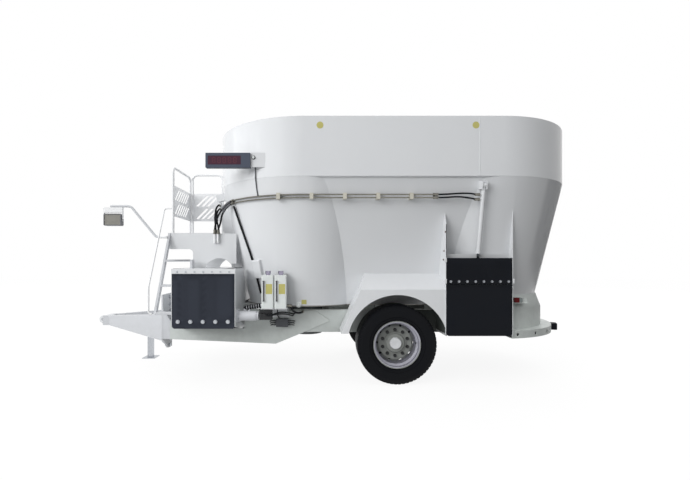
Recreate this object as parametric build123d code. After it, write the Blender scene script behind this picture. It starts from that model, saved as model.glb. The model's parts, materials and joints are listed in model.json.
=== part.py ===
from build123d import *
import math
import os

# A trailed feed mixer wagon, in millimetres: +X towards the rear, -Y the left side, +Z up, ground at Z 0

# Tub: two upright cones joined by bent side panels, with a straight belt on top
front_auger_x = -261
auger_spacing = 2427
tub_radius = 1250
seam_z = 2585
belt_height = 729
tub_floor_z = 960
floor_thickness = 12
cone_bottom_radius = 886
shell_wall = 10
panel_bottom_half = 690
panel_bend_half = 850
panel_bend_z = 1450
panel_top_inset = 20
rim_lip = 40
seam_flange = 75

# Augers, their knives and the drive below the floor
auger_bottom_radius = 810
auger_top_radius = 330
auger_tube_radius = 170
auger_tube_wall = 12
auger_pitch = 470
auger_turns = 3
auger_plate = 15
auger_floor_gap = 16
knife_length = 230
knife_width = 130
knife_thickness = 12
knife_reach = 70
knives_per_auger = 7
knife_first_share = 0.12
knife_span_share = 0.8
flight_steps_per_turn = 24
auger_shaft_radius = 60
gearbox_radius = 230
gearbox_bottom_z = 480
gearbox_neck_radius = 130
gearbox_flange_radius = 330
gearbox_bore_depth = 240
driveline_z = 600
driveline_radius = 30
pto_stub_radius = 17.45
pto_stub_length = 90

# Chassis, axle and wheels
rail_half = 700
rail_width = 80
rail_plate = 12
rail_bottom_z = 596
rail_top_z = 900
rail_front_x = -1080
rail_rear_x = 2690
crossmember_height = 190
crossmember_width = 80
crossmember_drop = 20
gearbox_side_gap = 10
front_beam_rise = 75
front_beam_gap = 18
front_beam_setback = 60
front_plate_bottom_z = 440
front_plate_top_z = 645
front_plate_knee_x = -658
front_plate_nose_rise = 65
front_plate_slope = 380
front_plate_lead = 90
front_plate_head_drop = 200
doubler_tip_x = 71
doubler_tip_length = 190
head_x = -2200
head_plate = 20
head_top_z = 1100
head_bottom_z = 345
head_flange_edge = 30
head_gusset_length = 85
head_gusset_sheet = 14
head_bolt_radius = 12
head_bolt_edge = 50
head_low_bolt_edge = 34
head_ear_width = 95
axle_x = 903
axle_z = 500
axle_beam_size = 120
tyre_clearance = 20
axle_stub = 165
spindle_reach = 58
spindle_radius = 40
tyre_diameter = 1000
tyre_width = 385
bead_width = 30
bead_flange_rise = 4
bead_wall_inset = 16
bead_wall_rise = 26
bead_lining_rise = 18
lining_foot_inset = 44
lining_foot_rise = 30
groove_offsets = (-105, -38, 38, 105)
groove_half = 6
groove_depth = 13
groove_over = 9
rim_flange_radius = 298.5
bead_radius = 285.75
rim_width = 298
rim_flange = 11
rim_wall = 8
rim_drop = 24
rim_seat_width = 44
rim_well_start = 64
rim_inner_lag = 5
rim_edge = 4
rim_edge_rise = 2
rim_weld = 2
disc_front = 5
disc_sheet = 12
disc_flat_radius = 212
disc_lag = 5
disc_dish = 33
disc_lip = 15
hand_hole_circle = 231
hand_hole_radius = 17
wheel_hole_reach = 70
wheel_stud_circle = 335
wheel_studs = 10
stud_hole_radius = 13
stud_radius = 11
stud_reach = 46
stud_bore_depth = 60
wheel_nut_radius = 19
wheel_nut_height = 27
nut_washer_radius = 22
nut_washer = 6
hub_cap_bore = 60
hub_pilot_front = 19
hub_flange = 20
hub_flange_radius = 195
hub_barrel_front_radius = 120
hub_barrel_radius = 105
hub_barrel_end = 140
hub_pilot_radius = 140
brake_drum_radius = 205
brake_drum_wall = 15
brake_drum_end = 135
brake_plate_radius = 265
brake_plate = 6
brake_plate_offset = 143
load_cell_length = 150
load_cell_width = 70
load_cell_head = 22
front_cell_gap = 400
rear_cell_gap = 340

# Drawbar, hitch eye and parking stand
hitch_x = -3359
hitch_z = 671
hitch_bore_radius = 25
hitch_outer_radius = 58.5
hitch_thickness = 44
hitch_shank_radius = 30
hitch_collar_radius = 44
hitch_collar = 22
hitch_nut_radius = 50
hitch_nut = 34
hitch_shank_end = 45
nose_gap = 64
nose_length = 95
nose_half = 150
nose_half_height = 70
leg_width = 90
leg_rear_half = 470
leg_rear_bottom_z = 411
leg_rear_top_z = 795
stand_x = -2800
stand_tube_size = 90
stand_tube_wall = 6
stand_tube_bottom_z = 350
stand_tube_top_z = 700
stand_leg_top_z = 600
stand_foot_size = 200
stand_foot_thickness = 12
stand_y = 375
stand_bracket_low = 120
stand_bracket_high = 40

# Side outlet with its sliding door, rails, rubber and cylinder
outlet_front_x = 1498
outlet_rear_x = 2329
outlet_plate = 8
outlet_face_y = -1140
front_rail_end_z = 2165
front_rail_tuck = 78
rear_rail_end_z = 2180
rear_rail_tuck = 8
outlet_rail_corner_z = 2011
outlet_bottom_z = 622
outlet_opening_top_z = 1470
door_top_z = 1640
door_thickness = 10
door_wall_gap = 12
rubber_thickness = 10
rubber_top_z = 1590
rubber_split_z = 1262
outlet_bolt_z = 1298
outlet_bolts = 8
outlet_bolt_radius = 8
outlet_bolt_edge = 50
outlet_bar_half = 25
sill_setback = 150
chute_setback = 45
chute_rise = 80
chute_sheet = 8
chute_bevel = 4
chute_root = 20
seal_gap = 4
cylinder_offset = 45
port_radius = 14
port_height = 14
port_drop = 50
port_pitch = 55
clevis_pin_radius = 12
ear_reach = 130
barrel_radius = 26
gland_lip = 5
gland_length = 40
barrel_neck_inset = 8
barrel_cap = 20
barrel_eye_half = 20
cylinder_eye_radius = 24
eye_bore_half = 30
ear_bore_half = 60
ear_offset = 27
ear_edge = 28
ear_sheet = 12
ear_height = 100
ear_pin_half = 36
rod_radius = 16
rod_lap = 90
rod_eye_half = 18
lug_edge = 26
lug_sheet = 10
lug_height = 60
lug_pin_half = 40
barrel_bottom_z = 1650
clevis_drop = 120
barrel_eye_rise = 59
rod_eye_z = 1130

# Front outlet above the cross conveyor
front_outlet_half = 410
front_door_top_z = 1560
front_rail_top_z = 2278
front_cylinder_y = -250
front_rail_depth = 35
front_rail_foot = 8

# Cross conveyor
conveyor_front_x = -1912
conveyor_rear_x = -1118
conveyor_end_y = 1130
conveyor_top_z = 1457
conveyor_plate = 6
conveyor_door_room = 30
conveyor_floor_gap = 4
slider_end_gap = 90
roller_radius = 60
roller_y = 1010
roller_z = 857
roller_shaft_radius = 20
roller_shaft_stub = 12
drive_shaft_reach = 50
belt_thickness = 10
belt_edge_gap = 16
end_beam_height = 64
end_beam_depth = 60
conveyor_end_rise = 90
flap_bottom_z = 710
flap_thickness = 12
flap_bolt_z = 797
flap_bolts = 5
flap_bolt_radius = 12
flap_bar_half = 22
flap_bar_sheet = 8
flap_bar_edge = 30
flap_bolt_front_edge = 75
flap_bolt_rear_edge = 85
flap_bead_radius = 11
flap_setback = 4
pin_radius = 5
motor_length = 275
motor_radius = 63
motor_flange = 22
motor_flange_lip = 22
motor_cap = 30
motor_cap_inset = 8
motor_bore = 60
motor_port_radius = 16
motor_port_setback = 175
motor_port_pitch = 55
motor_port_height = 22

# Platform, railing, ladder and work lamp
deck_z = 1939
deck_thickness = 8
deck_front_x = -2150
deck_rear_x = -1545
deck_near_y = -600
deck_far_y = 172
arch_width = 341
arch_corner = 60
arch_share = 0.55
small_arch_gap = 95
small_arch_radius = 195
small_arch_drop = 60
side_plate_lap = 150
inner_plate_setback = 250
cover_setback = 235
railing_top_z = 2849
railing_radius = 17
railing_bend = 80
railing_setback = 60
railing_end_gap = 40
railing_pair = 38
railing_side_rise = 45
railing_edge = 4
handrail_radius = 11
handrail_bend = 30
handrail_gap = 57
handrail_foot = 40
handrail_knee = 350
handrail_rise = 340
panel_low_z = 2175
panel_high_z = 2605
panel_thickness = 4
slot_pitch = 82
slot_width = 38
ladder_foot_y = -1100
ladder_foot_z = 880
ladder_width = 360
stringer_width = 60
stringer_depth = 30
tread_depth = 90
tread_thickness = 30
lower_tread_rise = 340
upper_tread_rise = 323
lamp_x = -2880
lamp_z = 2115
lamp_width = 237
lamp_height = 162
lamp_depth = 80
lamp_frame = 12
lamp_corner = 18
lamp_glass_thickness = 6
lamp_arm_radius = 17
lamp_arm_rise = 186
lamp_arm_straight = 147
lamp_arm_reach = 497
lamp_arm_over = 39
lamp_crown_gap = 95
lamp_arm_bend = 90
lamp_yoke_width = 36
lamp_yoke_sheet = 7
lamp_yoke_gap = 3
lamp_pin_radius = 8
lamp_side_gap = 40
lamp_arm_drop = 60

# Fenders
fender_outer_y = 1130
fender_edge_z = 1198
fender_wall_z = 1410
fender_wall_y = 800
fender_bottom_z = 649
fender_sheet = 5
fender_chassis_gap = 1
fender_arch_radius = 630
fender_front_low_x = 197
fender_front_high_x = 439

# Rear base below the rear auger
base_radius = 1120
base_bottom_z = 584
base_top_z = 680
base_plate = 12
skirt_radius = 988
skirt_sheet = 8
skirt_break_z = 930
skirt_top_z = 1110
base_inner_radius = 300
base_hole_radius = 20
base_hole_start = 12.8
base_hole_step = 15.2
base_holes = 3
buffer_length = 150
buffer_depth = 80
buffer_turn = -21
buffer_edge = 4
rear_lamp_gap = 95
rear_lamp_width = 100
rear_lamp_depth = 60
rear_lamp_height = 62
rear_lamp_corner = 12
lamp_shelf_edge = 10
lamp_shelf_width = 180
lamp_shelf_lip = 12
lamp_shelf_sheet = 6
lamp_tab_gap = 12
lamp_tab_width = 48
lamp_tab_sheet = 8
lamp_tab_height = 58

# Hydraulics, tanks, junction box and scale display
pipe_drop = 240
pipe_gap = 38
pipe_radius = 9
pipe_rear_x = 1315
pipe_standoff = 22
clip_pitch = 407
clip_count = 5
clip_end_gap = 262
clip_length = 46
clip_cover = 16
clip_edge = 18
hose_radius = 13
hose_bend_share = 0.45
hose_lead = 70
fitting_radius = 15
fitting_x = -1504
fitting_pitch = 45
fitting_low_z = 1815
fitting_high_z = 1920
fitting_inner_z = 1880
fitting_standoff = 32
conduit_radius = 14
cable_radius = 8
cable_turn = 61
cable_top = 70
cable_lift = 6
cable_foot = 2.4
sleeve_ribs = 7
sleeve_radius = 19
sleeve_rib_radius = 30
sleeve_bore = 11
sleeve_rise = 58
sleeve_bend = 42
pipe_wrap = 52
tank_front_x = -797
tank_width = 152
tank_gap = 10
tank_height = 418
tank_corner = 14
tank_near_y = -1100
tank_depth = 125
tank_bottom_z = 958
tank_cap_radius = 34
tank_cap_neck = 14
tank_cap_height = 38
tank_cap_lip = 6
tank_shelf = 8
shelf_overhang = 10
shelf_lip = 6
shelf_leg_drop = 105
shelf_gusset_setback = 40
shelf_gusset_drop = 95
sight_edge = 28
sight_standoff = 14
sight_radius = 8
sight_low = 90
sight_high = 70
sight_lug_half = 10
sight_lug_depth = 24
sight_lug_height = 12
junction_x = -569
junction_z = 729
junction_width = 160
junction_height = 106
junction_depth = 70
junction_corner = 8
cable_gland_edge = 26
cable_gland_reach = 30
cable_gland_radius = 10
cable_glands = 3
valve_length = 155
valve_lead = 31
valve_depth = 110
valve_height = 140
valve_setback = 40
spool_edge = 22
spool_reach = 34
spool_radius = 17
spools = 4
display_gap = 172
display_rise = 207
display_width = 550
display_height = 182
display_depth = 70
display_inset = 100
display_corner = 5
window_side_edge = 30
window_width = 405
window_edge = 37
window_thickness = 8
display_arm_reach = 348
display_arm_sheet = 10
display_arm_low = 80
display_arm_high = 100

# Hexagon bolts, as shares of the shank's radius
bolt_head_share = 1.3
bolt_head_reach = 1.85
bolt_washer_share = 0.35
bolt_washer_reach = 2.1

# Tyre and hub sections: how far in from the side and down from the tread, and (offset outwards, radius)
tyre_side_section = ((4, 150), (0, 112), (3, 70), (14, 34), (26, 10), (60, 0))
tyre_lining_section = ((60, 24), (48, 50), (24, 90), (28, 140))
hub_cap_section = ((72, 0), (80, 40), (80, 66), (42, 80), (42, 112), (hub_pilot_front, 130))

# Running, sliding and seating clearances
running_gap = 0.05
sliding_gap = 0.4
seat_gap = 0.3
bolt_gap = 0.5
cut_over = 1

# Values that follow from the sizes above
rear_auger_x = front_auger_x + auger_spacing
floor_top = tub_floor_z + floor_thickness
cone_slope = (tub_radius - cone_bottom_radius) / (seam_z - floor_top)
rim_z = seam_z + belt_height
wheel_y = rail_half + rail_plate + tyre_clearance + tyre_width / 2
outlet_x = (outlet_front_x + outlet_rear_x) / 2
panel_top_half = tub_radius - panel_top_inset
pipe_z = seam_z - pipe_drop
clevis_z = seam_z - clevis_drop
barrel_top_z = clevis_z - barrel_eye_rise
nose_front_x = hitch_x + nose_gap
nose_rear_x = nose_front_x + nose_length
display_y = display_inset - tub_radius
display_end_x = front_auger_x - math.sqrt(tub_radius ** 2 - display_y ** 2) - display_gap
display_x = display_end_x - display_width / 2
display_z = seam_z + display_rise
far = 6000


def block(x0, x1, y0, y1, z0, z1):
    centre = Pos((x0 + x1) / 2, (y0 + y1) / 2, (z0 + z1) / 2)
    return centre * Box(abs(x1 - x0), abs(y1 - y0), abs(z1 - z0))


def post(radius, height):
    return Cylinder(radius, height, align=(Align.CENTER, Align.CENTER, Align.MIN))


def rod(start, end, radius):
    run = Vector(*end) - Vector(*start)
    return Plane(origin=start, z_dir=run).location * post(radius, run.length)


def prism(points, direction):
    # A flat outline of three-dimensional points, pushed along a direction
    face = Face(Wire.make_polygon([Vector(*p) for p in points], close=True))
    run = Vector(*direction)
    return extrude(face, amount=run.length, dir=run.normalized())


def slab_x(points, x0, x1):
    # An outline of (y, z) points between two X planes
    return prism([(x0, y, z) for y, z in points], (x1 - x0, 0, 0))


def slab_y(points, y0, y1):
    # An outline of (x, z) points between two Y planes
    return prism([(x, y0, z) for x, z in points], (0, y1 - y0, 0))


def slab_z(points, z0, z1):
    # An outline of (x, y) points between two Z planes
    return prism([(x, y, z0) for x, y in points], (0, 0, z1 - z0))


def bent_tube(points, bend, radius):
    path = FilletPolyline(*points, radius=bend)
    section = Plane(origin=path @ 0, z_dir=path % 0) * Circle(radius)
    return sweep(section, path=path)


def turned(points, x, y):
    # An outline of (radius, z) points turned about an upright axis
    face = Face(Wire.make_polygon([Vector(r, 0, z) for r, z in points], close=True))
    return Pos(x, y, 0) * revolve(face, axis=Axis.Z)


def mirrored(shape):
    return mirror(shape, about=Plane.XZ)


def pair(shape):
    return [shape, mirrored(shape)]


def group(shapes):
    solids = []
    for shape in shapes:
        solids.extend(shape.solids())
    return Compound(children=solids)


def hex_bolt(place, direction, grip, radius):
    # A hexagon bolt with washer, shank and nut: its head stands on the plate at place, its shank runs
    # along direction through the grip, and the nut closes the far side
    head = radius * bolt_head_share
    washer = radius * bolt_washer_share
    hexagon = RegularPolygon(radius * bolt_head_reach, 6)
    frame = Plane(origin=place, z_dir=direction).location
    body = frame * Pos(0, 0, -washer) * post(radius * bolt_washer_reach, washer)
    body += frame * Pos(0, 0, -washer - head) * extrude(hexagon, amount=head)
    body += frame * post(radius, grip + head)
    return body + frame * Pos(0, 0, grip) * extrude(hexagon, amount=head)


def bolt_hole(place, direction, grip, radius):
    frame = Plane(origin=place, z_dir=direction).location
    return frame * Pos(0, 0, -grip) * post(radius + bolt_gap, 3 * grip)


def cone_radius(z):
    return cone_bottom_radius + cone_slope * (z - floor_top)


def spread(low, high, count):
    return [low + (high - low) * i / (count - 1) for i in range(count)]


# Tub

def tub_cone(x, inset):
    height = seam_z - floor_top
    cone = Cone(cone_bottom_radius - inset, tub_radius - inset, height,
                align=(Align.CENTER, Align.CENTER, Align.MIN))
    return Pos(x, 0, floor_top) * cone


def tub_middle(inset):
    right = [(panel_bottom_half - inset, floor_top), (panel_bend_half - inset, panel_bend_z),
             (panel_top_half - inset, seam_z)]
    left = [(-y, z) for y, z in reversed(right)]
    return slab_x(right + left, front_auger_x, rear_auger_x)


def tub_outside():
    return [tub_cone(front_auger_x, 0), tub_cone(rear_auger_x, 0), tub_middle(0)]


def clear_of_tub(shape):
    for body in tub_outside():
        shape -= body
    return shape


def outlet_opening():
    return block(outlet_front_x + outlet_plate, outlet_rear_x - outlet_plate, -far,
                 -panel_bottom_half + 4 * shell_wall, floor_top, outlet_opening_top_z)


def front_opening():
    return block(-far, front_auger_x - cone_bottom_radius / 2, -front_outlet_half, front_outlet_half,
                 floor_top, outlet_opening_top_z)


def tub_front_shell():
    shell = tub_cone(front_auger_x, 0) - tub_cone(front_auger_x, shell_wall) - tub_middle(shell_wall)
    return shell - front_opening()


def tub_rear_shell():
    shell = tub_cone(rear_auger_x, 0) - tub_cone(rear_auger_x, shell_wall) - tub_middle(shell_wall)
    return shell - outlet_opening()


def tub_side_panels():
    panels = tub_middle(0) - tub_middle(shell_wall) - tub_cone(front_auger_x, 0)
    panels = panels - tub_cone(rear_auger_x, 0) - outlet_opening()
    return panels


def stadium(radius, z0, z1):
    ends = Pos(front_auger_x, 0, z0) * post(radius, z1 - z0)
    ends += Pos(rear_auger_x, 0, z0) * post(radius, z1 - z0)
    return ends + block(front_auger_x, rear_auger_x, -radius, radius, z0, z1)


def tub_belt():
    belt = stadium(tub_radius, seam_z, rim_z)
    belt -= stadium(tub_radius - seam_flange, seam_z, seam_z + shell_wall)
    belt -= stadium(tub_radius - shell_wall, seam_z + shell_wall, rim_z - shell_wall)
    return belt - stadium(tub_radius - rim_lip, rim_z - shell_wall, rim_z)


def floor_outline():
    floor = Pos(front_auger_x, 0, tub_floor_z) * post(cone_bottom_radius, floor_thickness)
    floor += Pos(rear_auger_x, 0, tub_floor_z) * post(cone_bottom_radius, floor_thickness)
    return floor + block(front_auger_x, rear_auger_x, -panel_bottom_half, panel_bottom_half,
                         tub_floor_z, floor_top)


def tub_floor():
    floor = floor_outline()
    for x in (front_auger_x, rear_auger_x):
        floor -= Pos(x, 0, tub_floor_z) * post(gearbox_neck_radius + bolt_gap, floor_thickness)
    return floor


# Augers and drive

def auger_radius(share):
    return auger_bottom_radius + (auger_top_radius - auger_bottom_radius) * share


def auger_height(share):
    return floor_top + auger_floor_gap + auger_pitch * auger_turns * share


def around(x, radius, turn, z):
    return (x + radius * math.cos(turn), radius * math.sin(turn), z)


def auger_screw(x):
    steps = flight_steps_per_turn * auger_turns
    sections = []
    inner = auger_tube_radius - auger_tube_wall / 2
    for i in range(steps + 1):
        share = i / steps
        turn = 2 * math.pi * auger_turns * share
        low = auger_height(share)
        corners = [around(x, inner, turn, low), around(x, auger_radius(share), turn, low),
                   around(x, auger_radius(share), turn, low + auger_plate),
                   around(x, inner, turn, low + auger_plate)]
        sections.append(Face(Wire.make_polygon([Vector(*c) for c in corners], close=True)))
    flight = loft(sections, ruled=True)
    bottom = tub_floor_z + 2 * gearbox_neck_height() + seat_gap
    top = auger_height(1) + 3 * auger_plate
    tube = Pos(x, 0, bottom) * post(auger_tube_radius, top - bottom)
    tube -= Pos(x, 0, bottom + auger_tube_wall) * post(auger_tube_radius - auger_tube_wall,
                                                     top - bottom - 2 * auger_tube_wall)
    shaft_low = gearbox_top() - gearbox_bore_depth + seat_gap
    shaft = Pos(x, 0, shaft_low) * post(auger_shaft_radius, bottom + auger_tube_wall - shaft_low)
    return tube + flight + shaft


def gearbox_neck_height():
    return floor_thickness + auger_floor_gap / 2


def gearbox_top():
    return tub_floor_z + 2 * gearbox_neck_height()


def auger_knives(x, screw):
    knives = []
    for i in range(knives_per_auger):
        share = knife_first_share + knife_span_share * i / knives_per_auger
        turn = 2 * math.pi * auger_turns * share
        reach = auger_radius(share) + knife_reach - knife_length / 2
        radial = Vector(math.cos(turn), math.sin(turn), 0)
        climb = auger_pitch / (2 * math.pi * reach)
        along = Vector(-math.sin(turn), math.cos(turn), climb)
        place = Vector(*around(x, reach, turn, auger_height(share) + auger_plate / 2))
        frame = Plane(origin=place, x_dir=radial, z_dir=radial.cross(along)).location
        knife = frame * Pos(0, 0, (auger_plate + knife_thickness) / 2) * Box(
            knife_length, knife_width, auger_plate + knife_thickness)
        lower = frame * Pos(0, 0, -far / 2) * Box(far, far, far)
        cut = knife - lower - screw
        knives.append(max(cut.solids(), key=lambda piece: piece.volume))
    return knives


def gearbox(x):
    body = Pos(x, 0, gearbox_bottom_z) * post(gearbox_radius, tub_floor_z - gearbox_bottom_z)
    body += Pos(x, 0, tub_floor_z) * post(gearbox_neck_radius, gearbox_top() - tub_floor_z)
    body += Pos(x, 0, rail_top_z - crossmember_drop) * post(gearbox_flange_radius, crossmember_drop)
    bore_low = gearbox_top() - gearbox_bore_depth
    body -= Pos(x, 0, bore_low) * post(auger_shaft_radius + running_gap, gearbox_bore_depth)
    return body - rod((x - far, 0, driveline_z), (x + far, 0, driveline_z), driveline_radius + running_gap)


def driveline():
    front = head_x - 2 * head_plate
    shaft = rod((front, 0, driveline_z), (rear_auger_x + gearbox_radius, 0, driveline_z), driveline_radius)
    stub = rod((front - pto_stub_length, 0, driveline_z), (front, 0, driveline_z), pto_stub_radius)
    return shaft + stub


# Chassis, axle and wheels

def side_rail():
    outline = [(rail_front_x, rail_bottom_z), (rail_rear_x, rail_bottom_z), (rail_rear_x, rail_top_z),
               (rail_front_x, rail_top_z)]
    rail = slab_y(outline, -rail_half, -rail_half + rail_width)
    return rail - block(rail_front_x, rail_rear_x, -rail_half + rail_plate, -rail_half + rail_width,
                        rail_bottom_z + rail_plate, rail_top_z - rail_plate)


def front_plate_nose_z():
    return front_plate_bottom_z + front_plate_nose_rise


def front_side_plate():
    # The deep front plate laps the outside of the rail and ends in a point
    point_z = (rail_bottom_z + rail_top_z) / 2
    outline = [(head_x + head_plate, front_plate_nose_z()), (front_plate_knee_x, front_plate_bottom_z),
               (front_plate_knee_x + front_plate_slope, rail_bottom_z), (doubler_tip_x, point_z),
               (doubler_tip_x - doubler_tip_length, rail_top_z - crossmember_drop),
               (rail_front_x, rail_top_z - crossmember_drop), (rail_front_x, front_plate_top_z),
               (conveyor_front_x - front_plate_lead, front_plate_top_z),
               (head_x + head_plate, head_top_z - front_plate_head_drop)]
    return slab_y(outline, -rail_half - rail_plate, -rail_half)


def crossmember(x, width):
    inner = rail_half - rail_plate
    top = rail_top_z - crossmember_drop
    beam = block(x - width / 2, x + width / 2, -inner, inner, top - crossmember_height, top)
    hollow = block(x - width / 2 + rail_plate, x + width / 2 - rail_plate, -inner, inner,
                   top - crossmember_height + rail_plate, top - rail_plate)
    beam -= hollow
    for side in (-1, 1):
        flange_low = block(x - width, x + width, side * (rail_half - rail_width), side * inner,
                           rail_top_z - rail_plate, rail_top_z)
        beam -= flange_low
    return beam


def front_crossmember(x):
    return block(x, x + crossmember_width, -rail_half, rail_half, front_plate_bottom_z + front_beam_rise,
                 driveline_z - driveline_radius - front_beam_gap)


def head_plates():
    # The chassis head plate, with the drawbar's flange bolted to its front
    wide = rail_half + rail_plate
    narrow = leg_rear_half + head_flange_edge
    chassis = slab_x([(-wide, front_plate_nose_z()), (-narrow, head_bottom_z), (narrow, head_bottom_z),
                      (wide, front_plate_nose_z()), (wide, head_top_z), (-wide, head_top_z)],
                     head_x, head_x + head_plate)
    flange = block(head_x - head_plate, head_x, -narrow, narrow, head_bottom_z, head_top_z)
    opening = rod((head_x - far, 0, driveline_z), (head_x + far, 0, driveline_z), 2 * driveline_radius)
    chassis -= opening
    flange -= rod((head_x - far, 0, driveline_z), (head_x + far, 0, driveline_z),
                  driveline_radius + running_gap)
    between = leg_rear_half - head_ear_width
    notch = block(head_x - far, head_x + far, -between, between, head_bottom_z, front_plate_nose_z())
    chassis -= notch
    flange -= notch
    for place in head_bolt_places():
        hole = bolt_hole(place, (1, 0, 0), 2 * head_plate, head_bolt_radius)
        chassis -= hole
        flange -= hole
    return chassis, flange


def head_bolt_places():
    places = []
    upper = spread(leg_rear_top_z + head_bolt_edge, head_top_z - head_bolt_edge, 3)
    for z in upper + [head_bottom_z + head_low_bolt_edge]:
        for y in (-leg_rear_half, leg_rear_half):
            places.append((head_x - head_plate, y, z))
    return places


def crossmembers():
    beams = []
    for axis in (front_auger_x, rear_auger_x):
        for side in (-1, 1):
            reach = gearbox_radius + crossmember_width / 2 + gearbox_side_gap
            beams.append(crossmember(axis + side * reach, crossmember_width))
    beams.append(crossmember(axle_x, crossmember_width))
    for x in (conveyor_front_x + front_beam_setback, rail_front_x - 2 * crossmember_width):
        beams.append(front_crossmember(x))
    return beams


def axle_beam():
    half = axle_beam_size / 2
    length = wheel_y - axle_stub
    beam = block(axle_x - half, axle_x + half, -length, length, axle_z - half, axle_z + half)
    for side in (-1, 1):
        beam += rod((axle_x, side * length, axle_z), (axle_x, side * (wheel_y + spindle_reach), axle_z),
                    spindle_radius)
        plate = wheel_y - brake_plate_offset
        beam += rod((axle_x, side * (plate - brake_plate), axle_z), (axle_x, side * plate, axle_z),
                    brake_plate_radius)
        beam += block(axle_x - half, axle_x + half, side * (rail_half - rail_width), side * rail_half,
                      axle_z + half, rail_bottom_z)
    return beam


def wheel_turned(points):
    # An outline of (offset outwards, radius) points turned about the left wheel's axle
    face = Face(Wire.make_polygon([Vector(r, -y, 0) for y, r in points], close=True))
    return Pos(axle_x, -wheel_y, axle_z) * revolve(face, axis=Axis.Y)


def tyre():
    top = tyre_diameter / 2
    half = tyre_width / 2
    bead = rim_width / 2 - seat_gap
    low = bead_radius + seat_gap
    side = [(bead - bead_width, low), (bead, low), (bead, rim_flange_radius + bead_flange_rise),
            (half - bead_wall_inset, rim_flange_radius + bead_wall_rise)]
    side += [(half - inset, top - drop) for inset, drop in tyre_side_section]
    lining = [(half - inset, top - drop) for inset, drop in tyre_lining_section]
    lining += [(half - lining_foot_inset, rim_flange_radius + lining_foot_rise),
               (bead - bead_width, low + bead_lining_rise)]
    outer = side + [(-y, r) for y, r in reversed(side)]
    inner = [(-y, r) for y, r in reversed(lining)] + lining
    ring = wheel_turned(outer + inner)
    for y in groove_offsets:
        left = y - groove_half
        right = y + groove_half
        bottom = top - groove_depth
        mouth = top + groove_over
        ring -= wheel_turned([(left, bottom), (right, bottom), (right, mouth), (left, mouth)])
    return ring


def wheel_circle(radius, count, turn):
    places = []
    for i in range(count):
        angle = 2 * math.pi * (i + turn) / count
        places.append((axle_x + radius * math.cos(angle), axle_z + radius * math.sin(angle)))
    return places


def wheel_rim():
    half = rim_width / 2
    flange = half + rim_flange
    drop = bead_radius - rim_drop
    well = drop - rim_wall
    outside = [(flange, rim_flange_radius), (half, rim_flange_radius), (half, bead_radius),
               (half - rim_seat_width, bead_radius), (half - rim_well_start, drop)]
    inside = [(half - rim_well_start - rim_inner_lag, well),
              (half - rim_seat_width - rim_inner_lag, bead_radius - rim_wall),
              (flange - rim_edge, bead_radius - rim_wall), (flange, bead_radius + rim_edge_rise)]
    outer = outside + [(-y, r) for y, r in reversed(outside)]
    inner = [(-y, r) for y, r in reversed(inside)] + inside
    barrel = wheel_turned(outer + inner)
    bore = hub_pilot_radius + seat_gap
    back = disc_front - disc_sheet
    dish = disc_front - disc_dish
    disc = [(disc_front, bore), (disc_front, disc_flat_radius), (dish, well + rim_weld),
            (dish - disc_lip, well + rim_weld), (back, disc_flat_radius + disc_lag), (back, bore)]
    rim = barrel + wheel_turned(disc)
    holes = [(place, stud_hole_radius) for place in wheel_circle(wheel_stud_circle / 2, wheel_studs, 0.5)]
    holes += [(place, hand_hole_radius) for place in wheel_circle(hand_hole_circle, wheel_studs, 0)]
    for (x, z), radius in holes:
        rim -= rod((x, -wheel_y - wheel_hole_reach, z), (x, -wheel_y + wheel_hole_reach, z), radius)
    return rim


def wheel_hub():
    # The hub turns on the spindle, clamps the disc on its flange and carries the drum, studs, nuts and cap
    bore = spindle_radius + running_gap
    back = disc_front - disc_sheet
    drum = back - hub_flange
    web = drum - brake_drum_wall
    drum_bore = brake_drum_radius - brake_drum_wall
    shape = list(hub_cap_section)
    shape += [(hub_pilot_front, hub_pilot_radius), (back, hub_pilot_radius), (back, hub_flange_radius),
              (drum, brake_drum_radius), (-brake_drum_end, brake_drum_radius), (-brake_drum_end, drum_bore),
              (web, drum_bore), (web, hub_barrel_front_radius), (-hub_barrel_end, hub_barrel_radius),
              (-hub_barrel_end, bore), (hub_cap_bore, bore), (hub_cap_bore, 0)]
    hub = wheel_turned(shape)
    nuts = []
    for x, z in wheel_circle(wheel_stud_circle / 2, wheel_studs, 0.5):
        hub -= rod((x, -wheel_y, z), (x, -wheel_y + stud_bore_depth, z), stud_radius + seat_gap)
        nut = rod((x, -wheel_y - stud_reach, z), (x, -wheel_y - drum, z), stud_radius)
        frame = Plane(origin=(x, -wheel_y - disc_front, z), z_dir=(0, -1, 0)).location
        nut += frame * extrude(RegularPolygon(wheel_nut_radius, 6), amount=wheel_nut_height)
        nut += frame * post(nut_washer_radius, nut_washer)
        nuts.append(nut)
    return [hub] + nuts


def load_cells():
    cells = []
    joint_z = tub_floor_z - load_cell_head
    for x in (front_auger_x - front_cell_gap, rear_auger_x + rear_cell_gap):
        y = -rail_half + rail_width / 2
        low = block(x - load_cell_length / 2, x + load_cell_length / 2, y - load_cell_width / 2,
                    y + load_cell_width / 2, rail_top_z, joint_z)
        high = block(x, x + load_cell_length / 2, y - load_cell_width / 2, y + load_cell_width / 2,
                     joint_z, tub_floor_z)
        cells.extend(pair(low + high))
    return cells


# Drawbar and stand

def drawbar_leg():
    rear_x = head_x - head_plate
    outer = -leg_rear_half
    inner = outer + leg_width
    rear = [(rear_x, outer, leg_rear_bottom_z), (rear_x, inner, leg_rear_bottom_z),
            (rear_x, inner, leg_rear_top_z), (rear_x, outer, leg_rear_top_z)]
    low = hitch_z - nose_half_height
    high = hitch_z + nose_half_height
    tip = [(nose_rear_x, -nose_half, low), (nose_rear_x, -nose_half + leg_width, low),
           (nose_rear_x, -nose_half + leg_width, high), (nose_rear_x, -nose_half, high)]
    sections = []
    for corners in (rear, tip):
        sections.append(Face(Wire.make_polygon([Vector(*c) for c in corners], close=True)))
    return loft(sections, ruled=True)


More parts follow.
